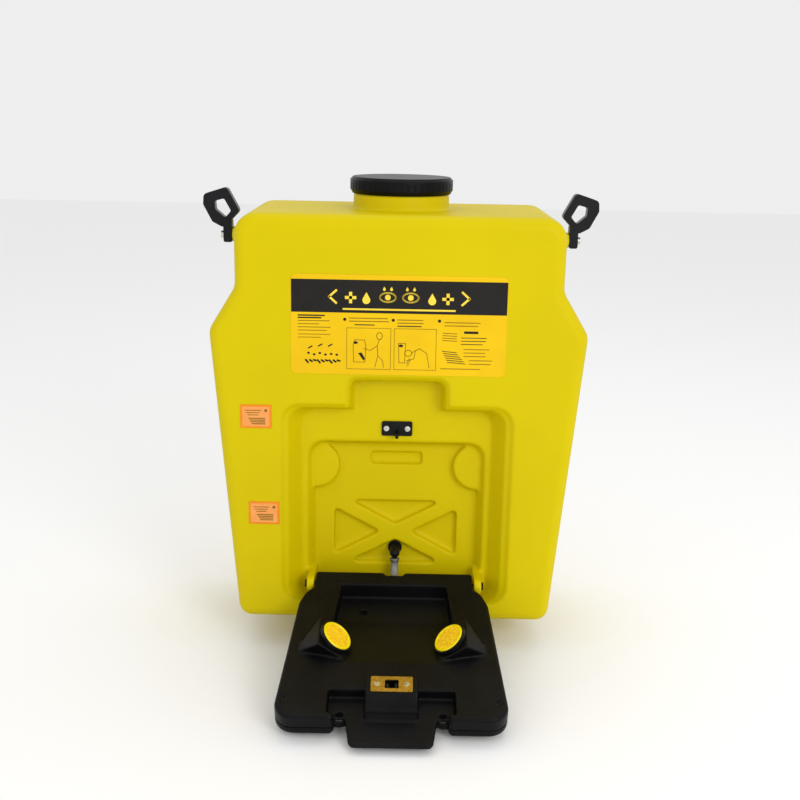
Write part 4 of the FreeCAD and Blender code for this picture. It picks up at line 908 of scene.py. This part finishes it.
@dataclass
class Stickers:
    """The two inspection stickers' generic printing."""

    def build(self) -> None:
        """Make both stickers' printing."""
        for place in ("upper", "lower"):
            low, high = node_box("inspection_sticker_" + place)
            x, z = low.x / MM, low.z / MM
            pale = Print("sticker_field_" + place, INK_PEACH, low.y, "sticker_film")
            dark = Print("sticker_print_" + place, INK_BROWN, low.y - INK_LIFT, "sticker_film")
            pale.bar(x + 3, x + 42, z + 3, z + 32)
            for k in range(3):
                dark.bar(x + 7 + 2 * k, x + 30 - 2 * k, z + 26 - 3.4 * k, z + 27.1 - 3.4 * k)
            dark.disc(x + 37, z + 26.5, 2.2, 2.2, 14)
            for k in range(4):
                dark.bar(x + 12 + 1.5 * k, x + 36, z + 14 - 2.7 * k, z + 15.5 - 2.7 * k)
            pale.build()
            dark.build()


@dataclass
class Studio:
    """Pale floor, soft lights and the camera."""

    camera_place: tuple[float, float, float] = (0.00365, -1.6239, 0.7411)
    pitch: float = -14.79
    roll: float = 1.10
    lens_mm: float = 48.77415
    sensor_mm: float = 36.0
    floor_z: float = -0.0465
    floor_half: float = 8.0
    world_strength: float = 0.86

    def build(self) -> None:
        """Make the floor, lights and camera."""
        self.floor()
        self.lights()
        self.camera()

    def floor(self) -> None:
        """A plain pale floor."""
        mesh = bmesh.new()
        bmesh.ops.create_grid(mesh, x_segments=1, y_segments=1, size=self.floor_half)
        obj = new_object("studio_floor", mesh)
        obj.location.z = self.floor_z - 0.0005
        mat = bpy.data.materials.new("studio_floor_paper")
        mat.use_nodes = True
        shader = mat.node_tree.nodes["Principled BSDF"]
        shader.inputs["Base Color"].default_value = (0.94, 0.94, 0.94, 1)
        shader.inputs["Roughness"].default_value = 0.9
        obj.data.materials.append(mat)

    def lights(self) -> None:
        """Soft key from the upper right, weak fill, and a bright even world."""
        for name, place, size, power in (("key", (1.5, -2.6, 1.5), 1.2, 30.0),
                                         ("fill", (-2.0, -2.2, 1.0), 2.2, 3.0),
                                         ("top", (0.2, 0.4, 2.8), 1.8, 10.0)):
            data = bpy.data.lights.new("studio_" + name, "AREA")
            data.energy = power
            data.size = size
            obj = bpy.data.objects.new("studio_" + name, data)
            obj.location = place
            obj.rotation_euler = (Vector((0, 0, 0.3)) - Vector(place)).to_track_quat("-Z", "Y").to_euler()
            bpy.context.scene.collection.objects.link(obj)
        world = bpy.data.worlds.new("studio_world")
        world.use_nodes = True
        world.node_tree.nodes["Background"].inputs["Color"].default_value = (1, 1, 1, 1)
        world.node_tree.nodes["Background"].inputs["Strength"].default_value = self.world_strength
        bpy.context.scene.world = world
        bpy.context.scene.view_settings.view_transform = "Standard"

    def camera(self) -> None:
        """The camera, from the user's side and a little above."""
        data = bpy.data.cameras.new("studio_camera")
        data.sensor_width = self.sensor_mm
        data.lens = self.lens_mm
        data.clip_start = 0.05
        data.clip_end = 50.0
        obj = bpy.data.objects.new("studio_camera", data)
        pitch = math.radians(self.pitch)
        ahead = Vector((0.0, math.cos(pitch), math.sin(pitch)))
        right = Vector((1.0, 0.0, 0.0))
        up = right.cross(ahead)
        turn = math.radians(self.roll)
        tilted_right = right * math.cos(turn) + up * math.sin(turn)
        tilted_up = tilted_right.cross(ahead)
        basis = Matrix((tilted_right, tilted_up, -ahead)).transposed().to_4x4()
        obj.matrix_world = Matrix.Translation(Vector(self.camera_place)) @ basis
        bpy.context.scene.collection.objects.link(obj)
        bpy.context.scene.camera = obj


CAD_FINISHES: dict[str, Any] = {
    "fill_cap": CAP_BLACK, "cap_liner": LINER_WHITE,
    "carry_eye_left": EYE_BLACK, "carry_eye_right": EYE_BLACK,
    "carry_eye_screws": SCREW_STEEL, "carry_eye_inserts": INSERT_BRASS, "hinge_pin_left": SCREW_BLACK,
    "hinge_pin_right": SCREW_BLACK, "outlet_elbow": FITTING_BLACK, "outlet_nut": FITTING_BLACK,
    "outlet_gasket": RUBBER_BLACK, "supply_hose": HOSE_CLEAR, "supply_hose_clip": CLIP_STEEL,
    "strike_plate": FITTING_BLACK, "strike_screws": SCREW_STEEL, "instruction_label": LABEL_YELLOW,
    "inspection_sticker_upper": STICKER_ORANGE, "inspection_sticker_lower": STICKER_ORANGE,
    "tray_top": TRAY_BLACK, "tray_base": TRAY_BLACK, "tray_front_screws": SCREW_BLACK,
    "tray_rear_screws": SCREW_STEEL, "hinge_bush_left": BUSH_WHITE, "hinge_bush_right": BUSH_WHITE,
    "spray_head_left": FITTING_BLACK, "spray_head_right": FITTING_BLACK, "head_seal_left": RUBBER_BLACK,
    "head_seal_right": RUBBER_BLACK, "spray_ring_left": RING_YELLOW, "spray_ring_right": RING_YELLOW,
    "filter_foam_left": FOAM_YELLOW, "filter_foam_right": FOAM_YELLOW, "inlet_tee": FITTING_BLACK,
    "branch_hose_left": HOSE_CLEAR, "branch_hose_right": HOSE_CLEAR, "branch_hose_clips": CLIP_STEEL,
    "catch_case": CASE_STEEL, "catch_plate": PLATE_BRASS, "catch_screws": SCREW_STEEL,
    "catch_roller_left": ROLLER_BLACK, "catch_roller_right": ROLLER_BLACK, "roller_spring_left": CLIP_STEEL,
    "roller_spring_right": CLIP_STEEL,
}


def main() -> None:
    """Dress the CAD nodes and build every sub-assembly in order."""
    logging.basicConfig(level=logging.INFO, format="%(name)s %(message)s")
    for node, finish in CAD_FINISHES.items():
        dress(frame["nodes"][node], finish)
    for part in (Tank(), Cap(), Tray(), Catch(), SprayHeads(), Label(), Stickers(), Studio()):
        part.build()


if __name__ == "__main__":
    main()
